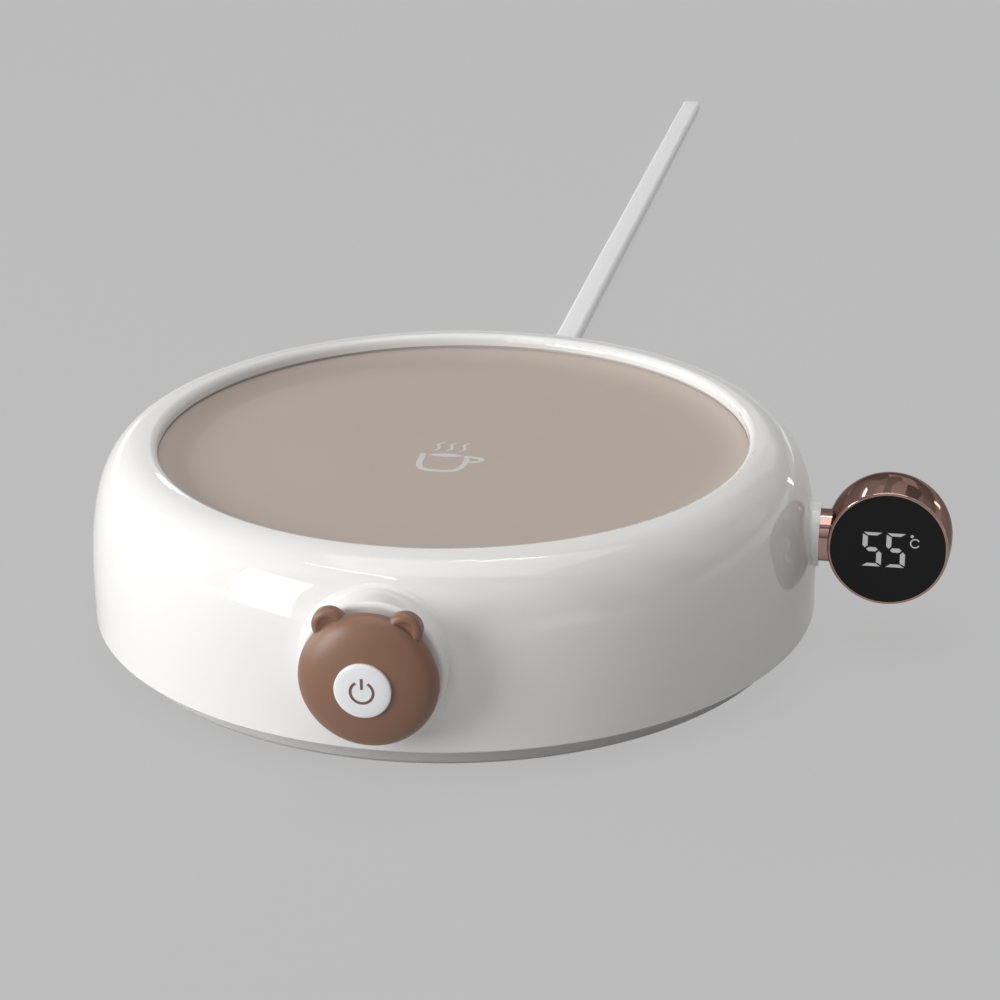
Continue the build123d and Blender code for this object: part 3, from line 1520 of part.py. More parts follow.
with BuildPart() as switch_cable:
    socket_back = switch_socket_place[1] + socket_depth / 2 - socket_wall
    for side in (-1, 1):
        with BuildLine() as strand:
            FilletPolyline(
                (side * wire_side, switch_board_back, button_height - switch_side),
                (side * wire_side, switch_board_back + 3 * wire_bend, button_height - switch_side),
                (side * wire_side, switch_socket_place[1] - 5 * wire_bend, socket_wire_height),
                (side * wire_side, socket_back, socket_wire_height),
                radius=2 * wire_bend,
            )
        with BuildSketch(Plane(origin=strand.line @ 0, z_dir=strand.line % 0)):
            Circle(thin_wire_radius)
        sweep()
switch_cable.part.label = "switch_cable"
export_step(switch_cable.part, "parts/switch_cable.step")

with BuildPart() as display_cable:
    cable_radius = 1.4
    cable_straight = 10.0
    cable_bend = 8.0
    cable_start = display_socket_place[0] - socket_depth / 2 + socket_wall
    cable_end = pod_centre - display_board_radius - hole_play
    with BuildLine() as strand:
        FilletPolyline(
            (cable_start, display_socket_place[1], socket_wire_height),
            (cable_start + cable_straight, display_socket_place[1], socket_wire_height),
            (neck_start - cable_bend, 0, pod_height),
            (cable_end, 0, pod_height),
            radius=cable_bend,
        )
    with BuildSketch(Plane(origin=strand.line @ 0, z_dir=strand.line % 0)):
        Circle(cable_radius)
    sweep()
display_cable.part.label = "display_cable"
export_step(display_cable.part, "parts/display_cable.step")
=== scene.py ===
import json
from math import cos, pi, radians, sin

import bmesh
import bpy
from mathutils import Matrix, Vector


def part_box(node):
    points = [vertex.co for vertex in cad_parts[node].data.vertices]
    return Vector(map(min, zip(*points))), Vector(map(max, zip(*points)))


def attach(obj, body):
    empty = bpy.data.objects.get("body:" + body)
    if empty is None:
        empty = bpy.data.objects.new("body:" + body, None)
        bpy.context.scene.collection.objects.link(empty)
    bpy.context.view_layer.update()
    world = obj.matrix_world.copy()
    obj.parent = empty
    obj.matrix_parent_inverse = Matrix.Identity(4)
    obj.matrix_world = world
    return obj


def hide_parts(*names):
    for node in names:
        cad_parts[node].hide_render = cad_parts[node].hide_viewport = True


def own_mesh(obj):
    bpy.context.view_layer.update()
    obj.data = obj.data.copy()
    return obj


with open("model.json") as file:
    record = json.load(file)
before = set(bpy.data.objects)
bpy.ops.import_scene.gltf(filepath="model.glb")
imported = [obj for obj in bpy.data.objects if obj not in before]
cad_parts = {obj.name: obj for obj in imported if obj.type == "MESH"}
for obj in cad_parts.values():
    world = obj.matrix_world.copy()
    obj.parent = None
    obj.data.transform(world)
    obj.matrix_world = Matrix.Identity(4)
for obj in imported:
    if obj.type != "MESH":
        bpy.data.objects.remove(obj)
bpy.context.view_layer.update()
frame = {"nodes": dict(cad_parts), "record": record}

scene = bpy.context.scene
mm = 0.001


def point(x, y, z):
    return Vector((x, y, z)) * mm


def shade(hexColour):
    # sRGB to linear
    steps = [int(hexColour[i:i + 2], 16) / 255 for i in (1, 3, 5)]
    return [s / 12.92 if s <= 0.04045 else ((s + 0.055) / 1.055) ** 2.4 for s in steps] + [1.0]


def addNode(tree, kind, settings, links=None):
    node = tree.nodes.new(kind)
    for key, value in settings.items():
        if isinstance(key, int) or key in node.inputs:
            node.inputs[key].default_value = value
        else:
            setattr(node, key, value)
    for key, source in (links or {}).items():
        tree.links.new(source, node.inputs[key])
    return node


# Camera
camera = {
    "place": (83.8757, -412.2620, 193.1456),        # mm
    "right": (0.98402384, 0.17786041, -0.00792227),
    "up": (-0.05996037, 0.37297607, 0.92590151),
    "lens": 94.48, "sensor": 36.0,                  # mm
    "near": 0.02, "far": 20.0,                      # metres
}


def setCamera():
    lens = bpy.data.cameras.new("camera")
    lens.lens, lens.sensor_width = camera["lens"], camera["sensor"]
    lens.clip_start, lens.clip_end = camera["near"], camera["far"]
    eye = bpy.data.objects.new("camera", lens)
    right, up = Vector(camera["right"]), Vector(camera["up"])
    turn = Matrix((right, up, right.cross(up))).transposed().to_4x4()
    eye.matrix_world = Matrix.Translation(point(*camera["place"])) @ turn
    scene.collection.objects.link(eye)
    scene.camera = eye


setCamera()


# Table and light
studio = {
    "table": 4.0,                      # side, in metres
    "tableGap": 0.02,                  # mm under the foot, so that the two don't fight
    "backdrop": "#BEBEBE",             # of the table too
    "ambient": 0.145,                  # even light from all round
    "shadowShare": 0.12,               # of the table's look that real light gives
    # what shiny parts see of the room: (sine of the elevation, brightness)
    "room": [(0.0, 0.95), (0.07, 0.85), (0.14, 0.34), (0.25, 0.38), (0.45, 0.34), (0.75, 0.45),
             (1.0, 0.25)],
    "panels": 3.6,                     # flat patches of wall and ceiling across that room
    "panelContrast": 0.7,              # how far a patch strays from the room's brightness
    # name: (azimuth and elevation in degrees; distance, width and height in metres; watts)
    "lamps": {
        "window": (180, 15, 1.2, 0.90, 0.80, 6.25),
        "softbox": (-137.5, 18, 0.9, 0.33, 0.50, 4.15),
        "ceiling": (0, 88, 1.2, 1.00, 1.00, 4.5),
        "front": (-85, 45, 1.2, 1.00, 0.80, 1.75),
        "rear": (85, 18, 1.3, 0.80, 0.40, 3.0),
        "rearRight": (45, 20, 1.2, 0.60, 0.50, 0.4),
        "glintLeft": (112, 26, 1.0, 0.10, 0.03, 0.06),
        "glintRight": (57, 5, 1.0, 0.02, 0.12, 0.05),
        "stripRear": (86, 70, 1.2, 0.24, 0.025, 0.25),
        "stripFront": (-133, 64, 1.2, 0.55, 0.025, 0.35),
    },
    "dullLamps": ("front", "rear", "rearRight"),    # they light but don't show in gloss
}


def seenDirectly(tree):
    # 1 for the camera and for what shows in gloss and glass
    path = addNode(tree, "ShaderNodeLightPath", {})
    seen = addNode(tree, "ShaderNodeMath", {"operation": "MAXIMUM"},
                   {0: path.outputs["Is Camera Ray"], 1: path.outputs["Is Glossy Ray"]})
    seen = addNode(tree, "ShaderNodeMath", {"operation": "MAXIMUM"},
                   {0: seen.outputs[0], 1: path.outputs["Is Transmission Ray"]})
    return path, seen


def setRoom():
    world = bpy.data.worlds.new("studio")
    scene.world = world
    world.use_nodes = True
    tree = world.node_tree
    tree.nodes.clear()
    path, seen = seenDirectly(tree)
    ambient = addNode(tree, "ShaderNodeBackground",
                      {"Color": (1, 1, 1, 1), "Strength": studio["ambient"]})
    backdrop = addNode(tree, "ShaderNodeBackground",
                       {"Color": shade(studio["backdrop"]), "Strength": 1.0})
    direction = addNode(tree, "ShaderNodeTexCoord", {})
    height = addNode(tree, "ShaderNodeSeparateXYZ", {}, {0: direction.outputs["Generated"]})
    bands = addNode(tree, "ShaderNodeValToRGB", {}, {0: height.outputs["Z"]})
    ramp = bands.color_ramp
    ramp.interpolation = "EASE"
    while len(ramp.elements) < len(studio["room"]):
        ramp.elements.new(0.5)
    for stop, (place, level) in zip(ramp.elements, studio["room"]):
        stop.position, stop.color = place, (level, level, level, 1)
    panels = addNode(tree, "ShaderNodeTexVoronoi", {"Scale": studio["panels"]},
                     {"Vector": direction.outputs["Generated"]})
    panelTone = addNode(tree, "ShaderNodeSeparateColor", {}, {0: panels.outputs["Color"]})
    level = addNode(tree, "ShaderNodeMapRange",
                    {"To Min": 1 - studio["panelContrast"], "To Max": 1 + studio["panelContrast"]},
                    {0: panelTone.outputs[0]})
    room = addNode(tree, "ShaderNodeBackground", {},
                   {"Color": bands.outputs[0], "Strength": level.outputs[0]})
    mirrored = addNode(tree, "ShaderNodeMixShader", {},
                       {0: path.outputs["Is Camera Ray"], 1: room.outputs[0],
                        2: backdrop.outputs[0]})
    mix = addNode(tree, "ShaderNodeMixShader", {},
                  {0: seen.outputs[0], 1: ambient.outputs[0], 2: mirrored.outputs[0]})
    addNode(tree, "ShaderNodeOutputWorld", {}, {"Surface": mix.outputs[0]})


def setTable():
    finish = bpy.data.materials.new("tableTop")
    finish.use_nodes = True
    tree = finish.node_tree
    tree.nodes.clear()
    seen = seenDirectly(tree)[1]
    share = addNode(tree, "ShaderNodeMath", {"operation": "MULTIPLY", 1: 1 - studio["shadowShare"]},
                    {0: seen.outputs[0]})
    lit = addNode(tree, "ShaderNodeBsdfDiffuse", {"Color": shade(studio["backdrop"])})
    glow = addNode(tree, "ShaderNodeEmission",
                   {"Color": shade(studio["backdrop"]), "Strength": 1.0})
    mix = addNode(tree, "ShaderNodeMixShader", {},
                  {0: share.outputs[0], 1: lit.outputs[0], 2: glow.outputs[0]})
    addNode(tree, "ShaderNodeOutputMaterial", {}, {"Surface": mix.outputs[0]})

    half, low = studio["table"] / 2, -studio["tableGap"] * mm
    corners = [(-half, -half, low), (half, -half, low), (half, half, low), (-half, half, low)]
    sheet = bpy.data.meshes.new("table")
    sheet.from_pydata(corners, [], [(0, 1, 2, 3)])
    sheet.materials.append(finish)
    table = bpy.data.objects.new("table", sheet)
    scene.collection.objects.link(table)


def hangLamps():
    for name, (azimuth, elevation, distance, width, height, watts) in studio["lamps"].items():
        light = bpy.data.lights.new(name, "AREA")
        light.shape, light.size, light.size_y, light.energy = "RECTANGLE", width, height, watts
        lamp = bpy.data.objects.new(name, light)
        around, rise = radians(azimuth), radians(elevation)
        toLamp = Vector((cos(rise) * cos(around), cos(rise) * sin(around), sin(rise)))
        lamp.location = toLamp * distance
        lamp.rotation_euler = toLamp.to_track_quat("Z", "Y").to_euler()
        lamp.visible_camera = False
        lamp.visible_glossy = name not in studio["dullLamps"]
        scene.collection.objects.link(lamp)


scene.view_settings.view_transform = "Standard"
setRoom()
setTable()
hangLamps()
print("studio set")


# Finishes: each starts from the real material and how its surface was made.
# hex is its colour, grain and depth are the relief's size in mm, vary how much the tone wanders;
# a metal has no ior, because it keeps the default, and edge is its tint where it is seen aslant
finishes = {
    # ABS, injection moulded in a polished tool: wet-looking white with sharp reflections, which
    # the mould's slow waviness bends a little
    "shellAbs": {"hex": "#F4F3F1", "roughness": 0.05, "ior": 1.53, "grain": 9.0, "depth": 0.002},
    # ABS moulded in a spark-eroded tool: a dull grey skin with a fine even pitting and no
    # reflections
    "baseAbs": {"hex": "#CFCDCB", "roughness": 0.55, "ior": 1.5, "grain": 0.5, "depth": 0.02,
                "vary": 0.05},
    # sprayed and baked coating on pressed aluminium: silky, so the room shows only as a soft
    # sheen, with an orange peel that is drawn coarser than the real one so that it shows
    "plateCoating": {"hex": "#BEB1A7", "roughness": 0.4, "ior": 1.45, "grain": 0.4, "depth": 0.004,
                     "vary": 0.02},
    # soft-touch paint over ABS: a velvety brown whose highlights spread wide
    "capPaint": {"hex": "#8C6752", "roughness": 0.37, "ior": 1.5, "grain": 0.3, "depth": 0.004,
                 "vary": 0.03},
    # ABS disc, gloss moulded: bluish white with a soft shine
    "inlayAbs": {"hex": "#F8F9FB", "roughness": 0.25, "ior": 1.5, "grain": 1.0, "depth": 0.002},
    # aluminium, polished and then anodised rose gold: a mirror that tints the room copper-pink
    "roseGold": {"hex": "#BC9A8F", "metal": True, "edge": "#A59E9C", "roughness": 0.06,
                 "grain": 1.5, "depth": 0.0006},
    # smoked acrylic, polished: nearly black, with faint clear reflections
    "smokedWindow": {"hex": "#090909", "roughness": 0.06, "ior": 1.36, "grain": 3.0,
                     "depth": 0.0005},
    # soft PVC, extruded: an even white with a dull shine along its edges
    "cordPvc": {"hex": "#FBFBFB", "roughness": 0.4, "ior": 1.53, "grain": 0.8, "depth": 0.002,
                "vary": 0.015},
    # nitrile rubber, moulded: matt black that grips the table
    "footRubber": {"hex": "#2B2B2B", "roughness": 0.75, "ior": 1.5, "grain": 0.4, "depth": 0.02,
                   "vary": 0.1},
    # steel, zinc plated and clear passivated: a cool grey metal with a soft blur
    "zincSteel": {"hex": "#C9CBCF", "metal": True, "roughness": 0.32, "grain": 0.3, "depth": 0.003,
                  "vary": 0.05},
    # steel sheet, cold rolled: a darker grey with slight mottling
    "rolledSteel": {"hex": "#B9BBBD", "metal": True, "roughness": 0.38, "grain": 0.4,
                    "depth": 0.004, "vary": 0.08},
    # spring steel, drawn to wire: dark and a little oily
    "springWire": {"hex": "#9A9B9E", "metal": True, "roughness": 0.3, "grain": 0.3, "depth": 0.002,
                   "vary": 0.05},
    # silicone rubber, moulded: milky and soft-edged in the light
    "silicone": {"hex": "#C8C8C4", "roughness": 0.45, "ior": 1.41, "grain": 0.8, "depth": 0.004,
                 "vary": 0.05},
    # polyimide film, laminated over etched foil: shiny amber
    "polyimideFilm": {"hex": "#B4742A", "roughness": 0.3, "ior": 1.7, "grain": 1.2, "depth": 0.004,
                      "vary": 0.1},
    # ceramic fibre, felted: a matt, fluffy off-white
    "fibreFelt": {"hex": "#E6E2D6", "roughness": 0.95, "ior": 1.5, "grain": 0.6, "depth": 0.15,
                  "vary": 0.12},
    # glass-filled PPS, moulded: near-black with a dry, slightly streaked face
    "filledPps": {"hex": "#2A2A2C", "roughness": 0.6, "ior": 1.6, "grain": 0.5, "depth": 0.01,
                  "vary": 0.1},
    # glass-epoxy board under solder resist: glossy green with a woven unevenness
    "solderResist": {"hex": "#1F5B34", "roughness": 0.35, "ior": 1.5, "grain": 1.2, "depth": 0.006,
                     "vary": 0.15},
    # epoxy moulding compound: matt black, faintly gritty
    "epoxyMoulding": {"hex": "#1C1C1E", "roughness": 0.6, "ior": 1.55, "grain": 0.3, "depth": 0.01,
                      "vary": 0.1},
    # PET sleeve, heat shrunk: dark blue and tightly shiny
    "shrinkSleeve": {"hex": "#202A48", "roughness": 0.28, "ior": 1.57, "grain": 1.0, "depth": 0.003,
                     "vary": 0.05},
    # epoxy, dip coated: ochre with a wet, uneven gloss
    "dippedEpoxy": {"hex": "#C88A26", "roughness": 0.25, "ior": 1.5, "grain": 1.5, "depth": 0.01,
                    "vary": 0.05},
    # soda-lime glass, drawn to a tube: pale, with sharp highlights
    "fuseGlass": {"hex": "#D8DDDD", "roughness": 0.08, "ior": 1.52, "grain": 2.0, "depth": 0.001},
    # polyamide, moulded green: satin
    "terminalNylon": {"hex": "#2F6E3D", "roughness": 0.5, "ior": 1.53, "grain": 0.5, "depth": 0.006,
                      "vary": 0.06},
    # polyamide, moulded and left natural: satin ivory
    "naturalNylon": {"hex": "#E3DFCF", "roughness": 0.5, "ior": 1.53, "grain": 0.5, "depth": 0.006,
                     "vary": 0.05},
    # acetal, moulded and left natural: waxy white
    "acetal": {"hex": "#ECEAE2", "roughness": 0.4, "ior": 1.48, "grain": 0.8, "depth": 0.003,
               "vary": 0.03},
    # PVC and silicone, extruded over the wires: even colours with a dull shine
    "brownSleeve": {"hex": "#6A4630", "roughness": 0.4, "ior": 1.53, "grain": 0.8, "depth": 0.003,
                    "vary": 0.05},
    "redSleeve": {"hex": "#B0392C", "roughness": 0.4, "ior": 1.41, "grain": 0.8, "depth": 0.003,
                  "vary": 0.05},
    "greySleeve": {"hex": "#C4C4C2", "roughness": 0.4, "ior": 1.53, "grain": 0.8, "depth": 0.003,
                   "vary": 0.05},
    # brass, tin plated: a warm pale metal
    "tinnedBrass": {"hex": "#C8C4B4", "metal": True, "roughness": 0.35, "grain": 0.3,
                    "depth": 0.003, "vary": 0.06},
    # ceramic ink, screen printed on the plate's coating: flat light grey
    "plateInk": {"hex": "#D4D3D1", "roughness": 0.5, "ior": 1.5, "grain": 0.4, "depth": 0.002,
                 "vary": 0.02},
    # two-part ink, pad printed: flat brown
    "inlayInk": {"hex": "#7A5A4A", "roughness": 0.45, "ior": 1.5, "grain": 0.4, "depth": 0.002,
                 "vary": 0.02},
}

# how every finish strays from its even look
wander = {
    "gritDetail": 3.0,
    "cloudDetail": 2.0, "cloudGrains": 12,      # a cloud is this many grains across
    "shine": 0.12,                              # share of the roughness, either way
}


def makeFinish(name):
    look = finishes[name]
    finish = bpy.data.materials.new(name)
    finish.use_nodes = True
    tree = finish.node_tree
    surface = tree.nodes["Principled BSDF"]
    if look.get("metal"):
        surface.inputs["Metallic"].default_value = 1.0
        surface.inputs["Specular Tint"].default_value = shade(look.get("edge", "#FFFFFF"))
    else:
        surface.inputs["IOR"].default_value = look["ior"]

    place = addNode(tree, "ShaderNodeTexCoord", {})
    grit = addNode(tree, "ShaderNodeTexNoise",
                   {"Scale": 1 / (look["grain"] * mm), "Detail": wander["gritDetail"]},
                   {"Vector": place.outputs["Object"]})
    bump = addNode(tree, "ShaderNodeBump", {"Strength": 1.0, "Distance": look["depth"] * mm},
                   {"Height": grit.outputs[0]})
    tree.links.new(bump.outputs[0], surface.inputs["Normal"])

    # broad clouds in the shine and in the tone
    cloudSize = wander["cloudGrains"] * look["grain"] * mm
    cloud = addNode(tree, "ShaderNodeTexNoise",
                    {"Scale": 1 / cloudSize, "Detail": wander["cloudDetail"]},
                    {"Vector": place.outputs["Object"]})
    shine = addNode(tree, "ShaderNodeMapRange",
                    {"To Min": look["roughness"] * (1 - wander["shine"]),
                     "To Max": look["roughness"] * (1 + wander["shine"])},
                    {0: cloud.outputs[0]})
    tree.links.new(shine.outputs[0], surface.inputs["Roughness"])
    colour = shade(look["hex"])
    if "vary" in look:
        dull = [c * (1 - look["vary"]) for c in colour[:3]] + [1.0]
        bright = [min(1.0, c * (1 + look["vary"])) for c in colour[:3]] + [1.0]
        tone = addNode(tree, "ShaderNodeMix", {"data_type": "RGBA"}, {0: cloud.outputs[0]})
        tone.inputs[6].default_value, tone.inputs[7].default_value = dull, bright
        tree.links.new(tone.outputs[2], surface.inputs["Base Color"])
    else:
        surface.inputs["Base Color"].default_value = colour
    return finish


made = {name: makeFinish(name) for name in finishes}


# light-emitting diodes behind milky segments: evenly lit, cool grey on the dark window
displayLight = {"hex": "#303030", "roughness": 0.3, "glow": "#ABABAB", "strength": 0.9}


def makeDisplayLight():
    finish = bpy.data.materials.new("displayLight")
    finish.use_nodes = True
    surface = finish.node_tree.nodes["Principled BSDF"]
    surface.inputs["Base Color"].default_value = shade(displayLight["hex"])
    surface.inputs["Roughness"].default_value = displayLight["roughness"]
    surface.inputs["Emission Color"].default_value = shade(displayLight["glow"])
    surface.inputs["Emission Strength"].default_value = displayLight["strength"]
    return finish


made["displayLight"] = makeDisplayLight()

# which CAD nodes take which finish
wearers = {
    "shellAbs": ("outer_shell",),
    "baseAbs": ("base_plate",),
    "footRubber": ("foot_ring",),
    "plateCoating": ("heating_plate",),
    "silicone": ("plate_seal", "friction_ring"),
    "capPaint": ("button_cap",),
    "inlayAbs": ("button_inlay",),
    "roseGold": ("pod_housing", "pod_neck"),
    "smokedWindow": ("display_window",),
    "cordPvc": ("cord_lead", "cord_strain_relief"),
    "zincSteel": ("base_screws", "retainer_screws", "board_screws", "clamp_screws"),
    "rolledSteel": ("heat_shield", "fuse_strap", "stem_clip", "temperature_sensor"),
    "springWire": ("button_spring",),
    "tinnedBrass": ("fuse_clips", "thermal_fuse"),
    "polyimideFilm": ("heater_mat",),
    "fibreFelt": ("insulation_pad",),
    "filledPps": ("plate_retainer",),
    "solderResist": ("main_board", "switch_board", "display_board"),
    "epoxyMoulding": ("controller_chip", "power_triac", "buzzer", "switch_body", "display_module"),
    "shrinkSleeve": ("supply_capacitor",),
    "dippedEpoxy": ("filter_capacitor",),
    "fuseGlass": ("input_fuse",),
    "terminalNylon": ("mains_terminal", "heater_terminal"),
    "naturalNylon": ("switch_socket", "sensor_socket", "display_socket", "cord_clamp"),
    "acetal": ("button_stem", "neck_bush", "stop_collar", "switch_plunger"),
    "brownSleeve": ("mains_wires",),
    "redSleeve": ("heater_wires",),
    "greySleeve": ("sensor_wires", "switch_cable", "display_cable"),
}
for finishName, nodeNames in wearers.items():
    for nodeName in nodeNames:
        for materialSlot in frame["nodes"][nodeName].material_slots:
            materialSlot.material = made[finishName]
print("finishes on", sum(len(names) for names in wearers.values()), "CAD pieces")


# Cord
cord = {
    "width": 5.2, "thickness": 3.1, "corner": 0.9, "cornerSteps": 6,
    "route": [
        (0.0, 86.5, 12.0), (0.0, 98.5, 12.0), (-1.0, 112.0, 9.2), (-2.4, 126.0, 4.4),
        (-3.25, 142.0, 1.6), (-2.95, 166.0, 1.6), (-2.5, 204.0, 1.6), (-1.6, 258.0, 1.6),
        (-0.9, 315.0, 1.6), (-0.02, 372.0, 1.6),
    ],
    "length": 286.8,
    "pointsPerKnot": 16,
    # the cut end's edge is rounded a little: (mm back from the end, mm inwards)
    "endEdge": [(0.25, 0.0), (0.07, 0.07), (0.0, 0.25)],
    "sharpFrom": 50,                   # degrees between faces
}


def followRoute():
    # the cord's own line, as points
    line = bpy.data.curves.new("route", "CURVE")
    line.dimensions = "3D"
    spline = line.splines.new("NURBS")
    spline.points.add(len(cord["route"]) - 1)
    for knot, place in zip(spline.points, cord["route"]):
        knot.co = (*point(*place), 1.0)
    spline.order_u = 3
    spline.use_endpoint_u = True
    spline.resolution_u = cord["pointsPerKnot"]
    guide = bpy.data.objects.new("route", line)
    scene.collection.objects.link(guide)
    bpy.context.view_layer.update()
    smooth = guide.evaluated_get(bpy.context.evaluated_depsgraph_get())
    drawn = bpy.data.meshes.new_from_object(smooth)
    points = [vertex.co.copy() for vertex in drawn.vertices]
    bpy.data.objects.remove(guide)
    bpy.data.curves.remove(line)
    bpy.data.meshes.remove(drawn)
    return points


def flatSection(inset):
    # round corners on a flat two-core sheath
    corner, steps = cord["corner"] - inset, cord["cornerSteps"]
    halfWidth = cord["width"] / 2 - cord["corner"]
    halfHeight = cord["thickness"] / 2 - cord["corner"]
    ring = []
    for quarter, (sideX, sideZ) in enumerate(((1, 1), (-1, 1), (-1, -1), (1, -1))):
        for step in range(steps + 1):
            turn = (quarter + step / steps) * pi / 2
            ring.append(((sideX * halfWidth + corner * cos(turn)) * mm,
                         (sideZ * halfHeight + corner * sin(turn)) * mm))
    return ring


def makeCord():
    points = followRoute()
    last = len(points) - 1
    stations = [(i, 0.0, 0.0) for i in range(last)]
    stations += [(last, back, inset) for back, inset in cord["endEdge"]]
    shape = bmesh.new()
    rings = []
    for i, back, inset in stations:
        ahead = (points[min(i + 1, last)] - points[max(i - 1, 0)]).normalized()
        side = ahead.cross(Vector((0, 0, 1))).normalized()
        rise = side.cross(ahead)
        centre = points[i] - ahead * back * mm
        rings.append([shape.verts.new(centre + side * across + rise * high)
                      for across, high in flatSection(inset)])
    for a, b in zip(rings, rings[1:]):
        for j in range(len(a)):
            k = (j + 1) % len(a)
            shape.faces.new((a[j], a[k], b[k], b[j]))
    shape.faces.new(rings[0])
    shape.faces.new(rings[-1])
    bmesh.ops.recalc_face_normals(shape, faces=shape.faces)
    mesh = bpy.data.meshes.new("powerCord")
    shape.to_mesh(mesh)
    shape.free()
    mesh.polygons.foreach_set("use_smooth", [True] * len(mesh.polygons))
    mesh.set_sharp_from_angle(angle=radians(cord["sharpFrom"]))
    mesh.materials.append(made["cordPvc"])
    piece = bpy.data.objects.new("powerCord", mesh)
    scene.collection.objects.link(piece)
    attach(piece, "housing")
    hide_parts("power_cord")


makeCord()
print("cord laid")


# Meshes that are built here, and the pieces made of them
weldGap = 0.0001 * mm                  # points nearer than this become one


def closedMesh(name, shape):
    bmesh.ops.remove_doubles(shape, verts=shape.verts, dist=weldGap)
    bmesh.ops.recalc_face_normals(shape, faces=shape.faces)
    mesh = bpy.data.meshes.new(name)
    shape.to_mesh(mesh)
    shape.free()
    return mesh


def finishMesh(name, shape, finishName, body):
    mesh = closedMesh(name, shape)
    mesh.materials.append(made[finishName])
    piece = bpy.data.objects.new(name, mesh)
    scene.collection.objects.link(piece)
    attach(piece, body)
    return piece


def curveThrough(knots, steps=6):
    # a smooth line through the knots
    ends = [knots[0]] + list(knots) + [knots[-1]]
    line = []
    for a, b, c, d in zip(ends, ends[1:], ends[2:], ends[3:]):
        for step in range(steps):
            t = step / steps
            line.append(tuple(
                0.5 * (2 * q + (r - p) * t + (2 * p - 5 * q + 4 * r - s) * t * t
                       + (3 * q - p - 3 * r + s) * t ** 3)
                for p, q, r, s in zip(a, b, c, d)))
    return line + [tuple(knots[-1])]


def addStroke(shape, knots, toPlace, thickness):
    # knots are (x, y, width); the stroke stands thickness proud of its surface
    line = curveThrough(knots)
    rings = []
    for i, (x, y, width) in enumerate(line):
        before, after = line[max(i - 1, 0)], line[min(i + 1, len(line) - 1)]
        along = Vector((after[0] - before[0], after[1] - before[1])).normalized()
        side = Vector((-along.y, along.x)) * width / 2
        rings.append([shape.verts.new(toPlace(x + s * side.x, y + s * side.y, h))
                      for s, h in ((-1, 0), (1, 0), (1, thickness), (-1, thickness))])
    for a, b in zip(rings, rings[1:]):
        for j in range(4):
            k = (j + 1) % 4
            shape.faces.new((a[j], a[k], b[k], b[j]))
    shape.faces.new(rings[0])
    shape.faces.new(rings[-1])


def addPlate(shape, outline, toPlace, thickness):
    low = [shape.verts.new(toPlace(x, y, 0)) for x, y in outline]
    high = [shape.verts.new(toPlace(x, y, thickness)) for x, y in outline]
    shape.faces.new(low)
    shape.faces.new(high)
    for i in range(len(outline)):
        j = (i + 1) % len(outline)
        shape.faces.new((low[i], low[j], high[j], high[i]))


# Geometry Nodes: a mesh goes in, is set out by the tree, and comes back as one plain mesh
def startTree(name, sizes):
    tree = bpy.data.node_groups.new(name, "GeometryNodeTree")
    tree.interface.new_socket("Geometry", in_out="INPUT", socket_type="NodeSocketGeometry")
    for label, kind in sizes.items():
        tree.interface.new_socket(label, in_out="INPUT", socket_type=kind)
    tree.interface.new_socket("Geometry", in_out="OUTPUT", socket_type="NodeSocketGeometry")
    return tree, addNode(tree, "NodeGroupInput", {}).outputs


def endTree(tree, instances, finish):
    real = addNode(tree, "GeometryNodeRealizeInstances", {}, {0: instances})
    dressed = addNode(tree, "GeometryNodeSetMaterial", {},
                      {"Geometry": real.outputs[0], "Material": finish})
    addNode(tree, "NodeGroupOutput", {}, {0: dressed.outputs[0]})
    return tree


def growPiece(name, mesh, tree, sizes, body):
    piece = bpy.data.objects.new(name, mesh)
    scene.collection.objects.link(piece)
    grow = piece.modifiers.new("grow", "NODES")
    grow.node_group = tree
    for socket in tree.interface.items_tree:
        if socket.in_out == "INPUT" and socket.name in sizes:
            grow[socket.identifier] = sizes[socket.name]
    bpy.context.view_layer.update()
    evaluated = piece.evaluated_get(bpy.context.evaluated_depsgraph_get())
    grown = bpy.data.meshes.new_from_object(evaluated)
    piece.modifiers.remove(grow)
    piece.data = grown
    grown.name = name
    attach(piece, body)
    return piece


# Printed cup on the plate
plateMark = {
    "centre": (0.0, -5.0),
    "turn": 2.0,                       # degrees
    "thickness": 0.03, "handleThickness": 0.027,
    # strokes as (x, y, width)
    "cup": [(-4.76, 2.8, 1.0), (-4.72, 0.4, 1.05), (-4.62, -2.2, 1.1), (-3.9, -4.0, 1.1),
            (-2.4, -4.68, 0.95), (-0.5, -4.9, 0.95), (1.2, -4.65, 0.95), (2.3, -3.8, 1.0),
            (3.0, -1.6, 1.0), (3.1, 0.4, 0.95), (2.85, 2.4, 0.8)],
    "handle": [(2.9, 2.0, 0.8), (4.3, 1.85, 0.8), (5.3, 1.5, 0.85), (5.65, 0.85, 0.9),
               (5.25, 0.1, 0.85), (4.3, -0.3, 0.8), (3.2, -0.35, 0.8)],
    "tea": [(-3.6, 2.35), (-2.7, 2.9), (-1.0, 3.25), (0.6, 3.12), (2.35, 2.3), (1.0, 1.78),
            (-1.2, 1.68), (-2.6, 1.95)],
    "steam": [(-3.3, 4.4, 0.3), (-2.55, 5.2, 0.5), (-2.6, 6.4, 0.55), (-2.85, 7.3, 0.5),
              (-2.0, 8.5, 0.3)],
    "wisps": 3, "wispGap": 2.25,
}


def plateTop():
    for mount in frame["record"]["mounts"]:
        if mount["name"] == "heating_surface":
            return mount["pos_m"][2] / mm


def onPlate(x, y, height):
    turn, (midX, midY) = radians(plateMark["turn"]), plateMark["centre"]
    return point(midX + x * cos(turn) - y * sin(turn), midY + x * sin(turn) + y * cos(turn),
                 plateTop() + height)


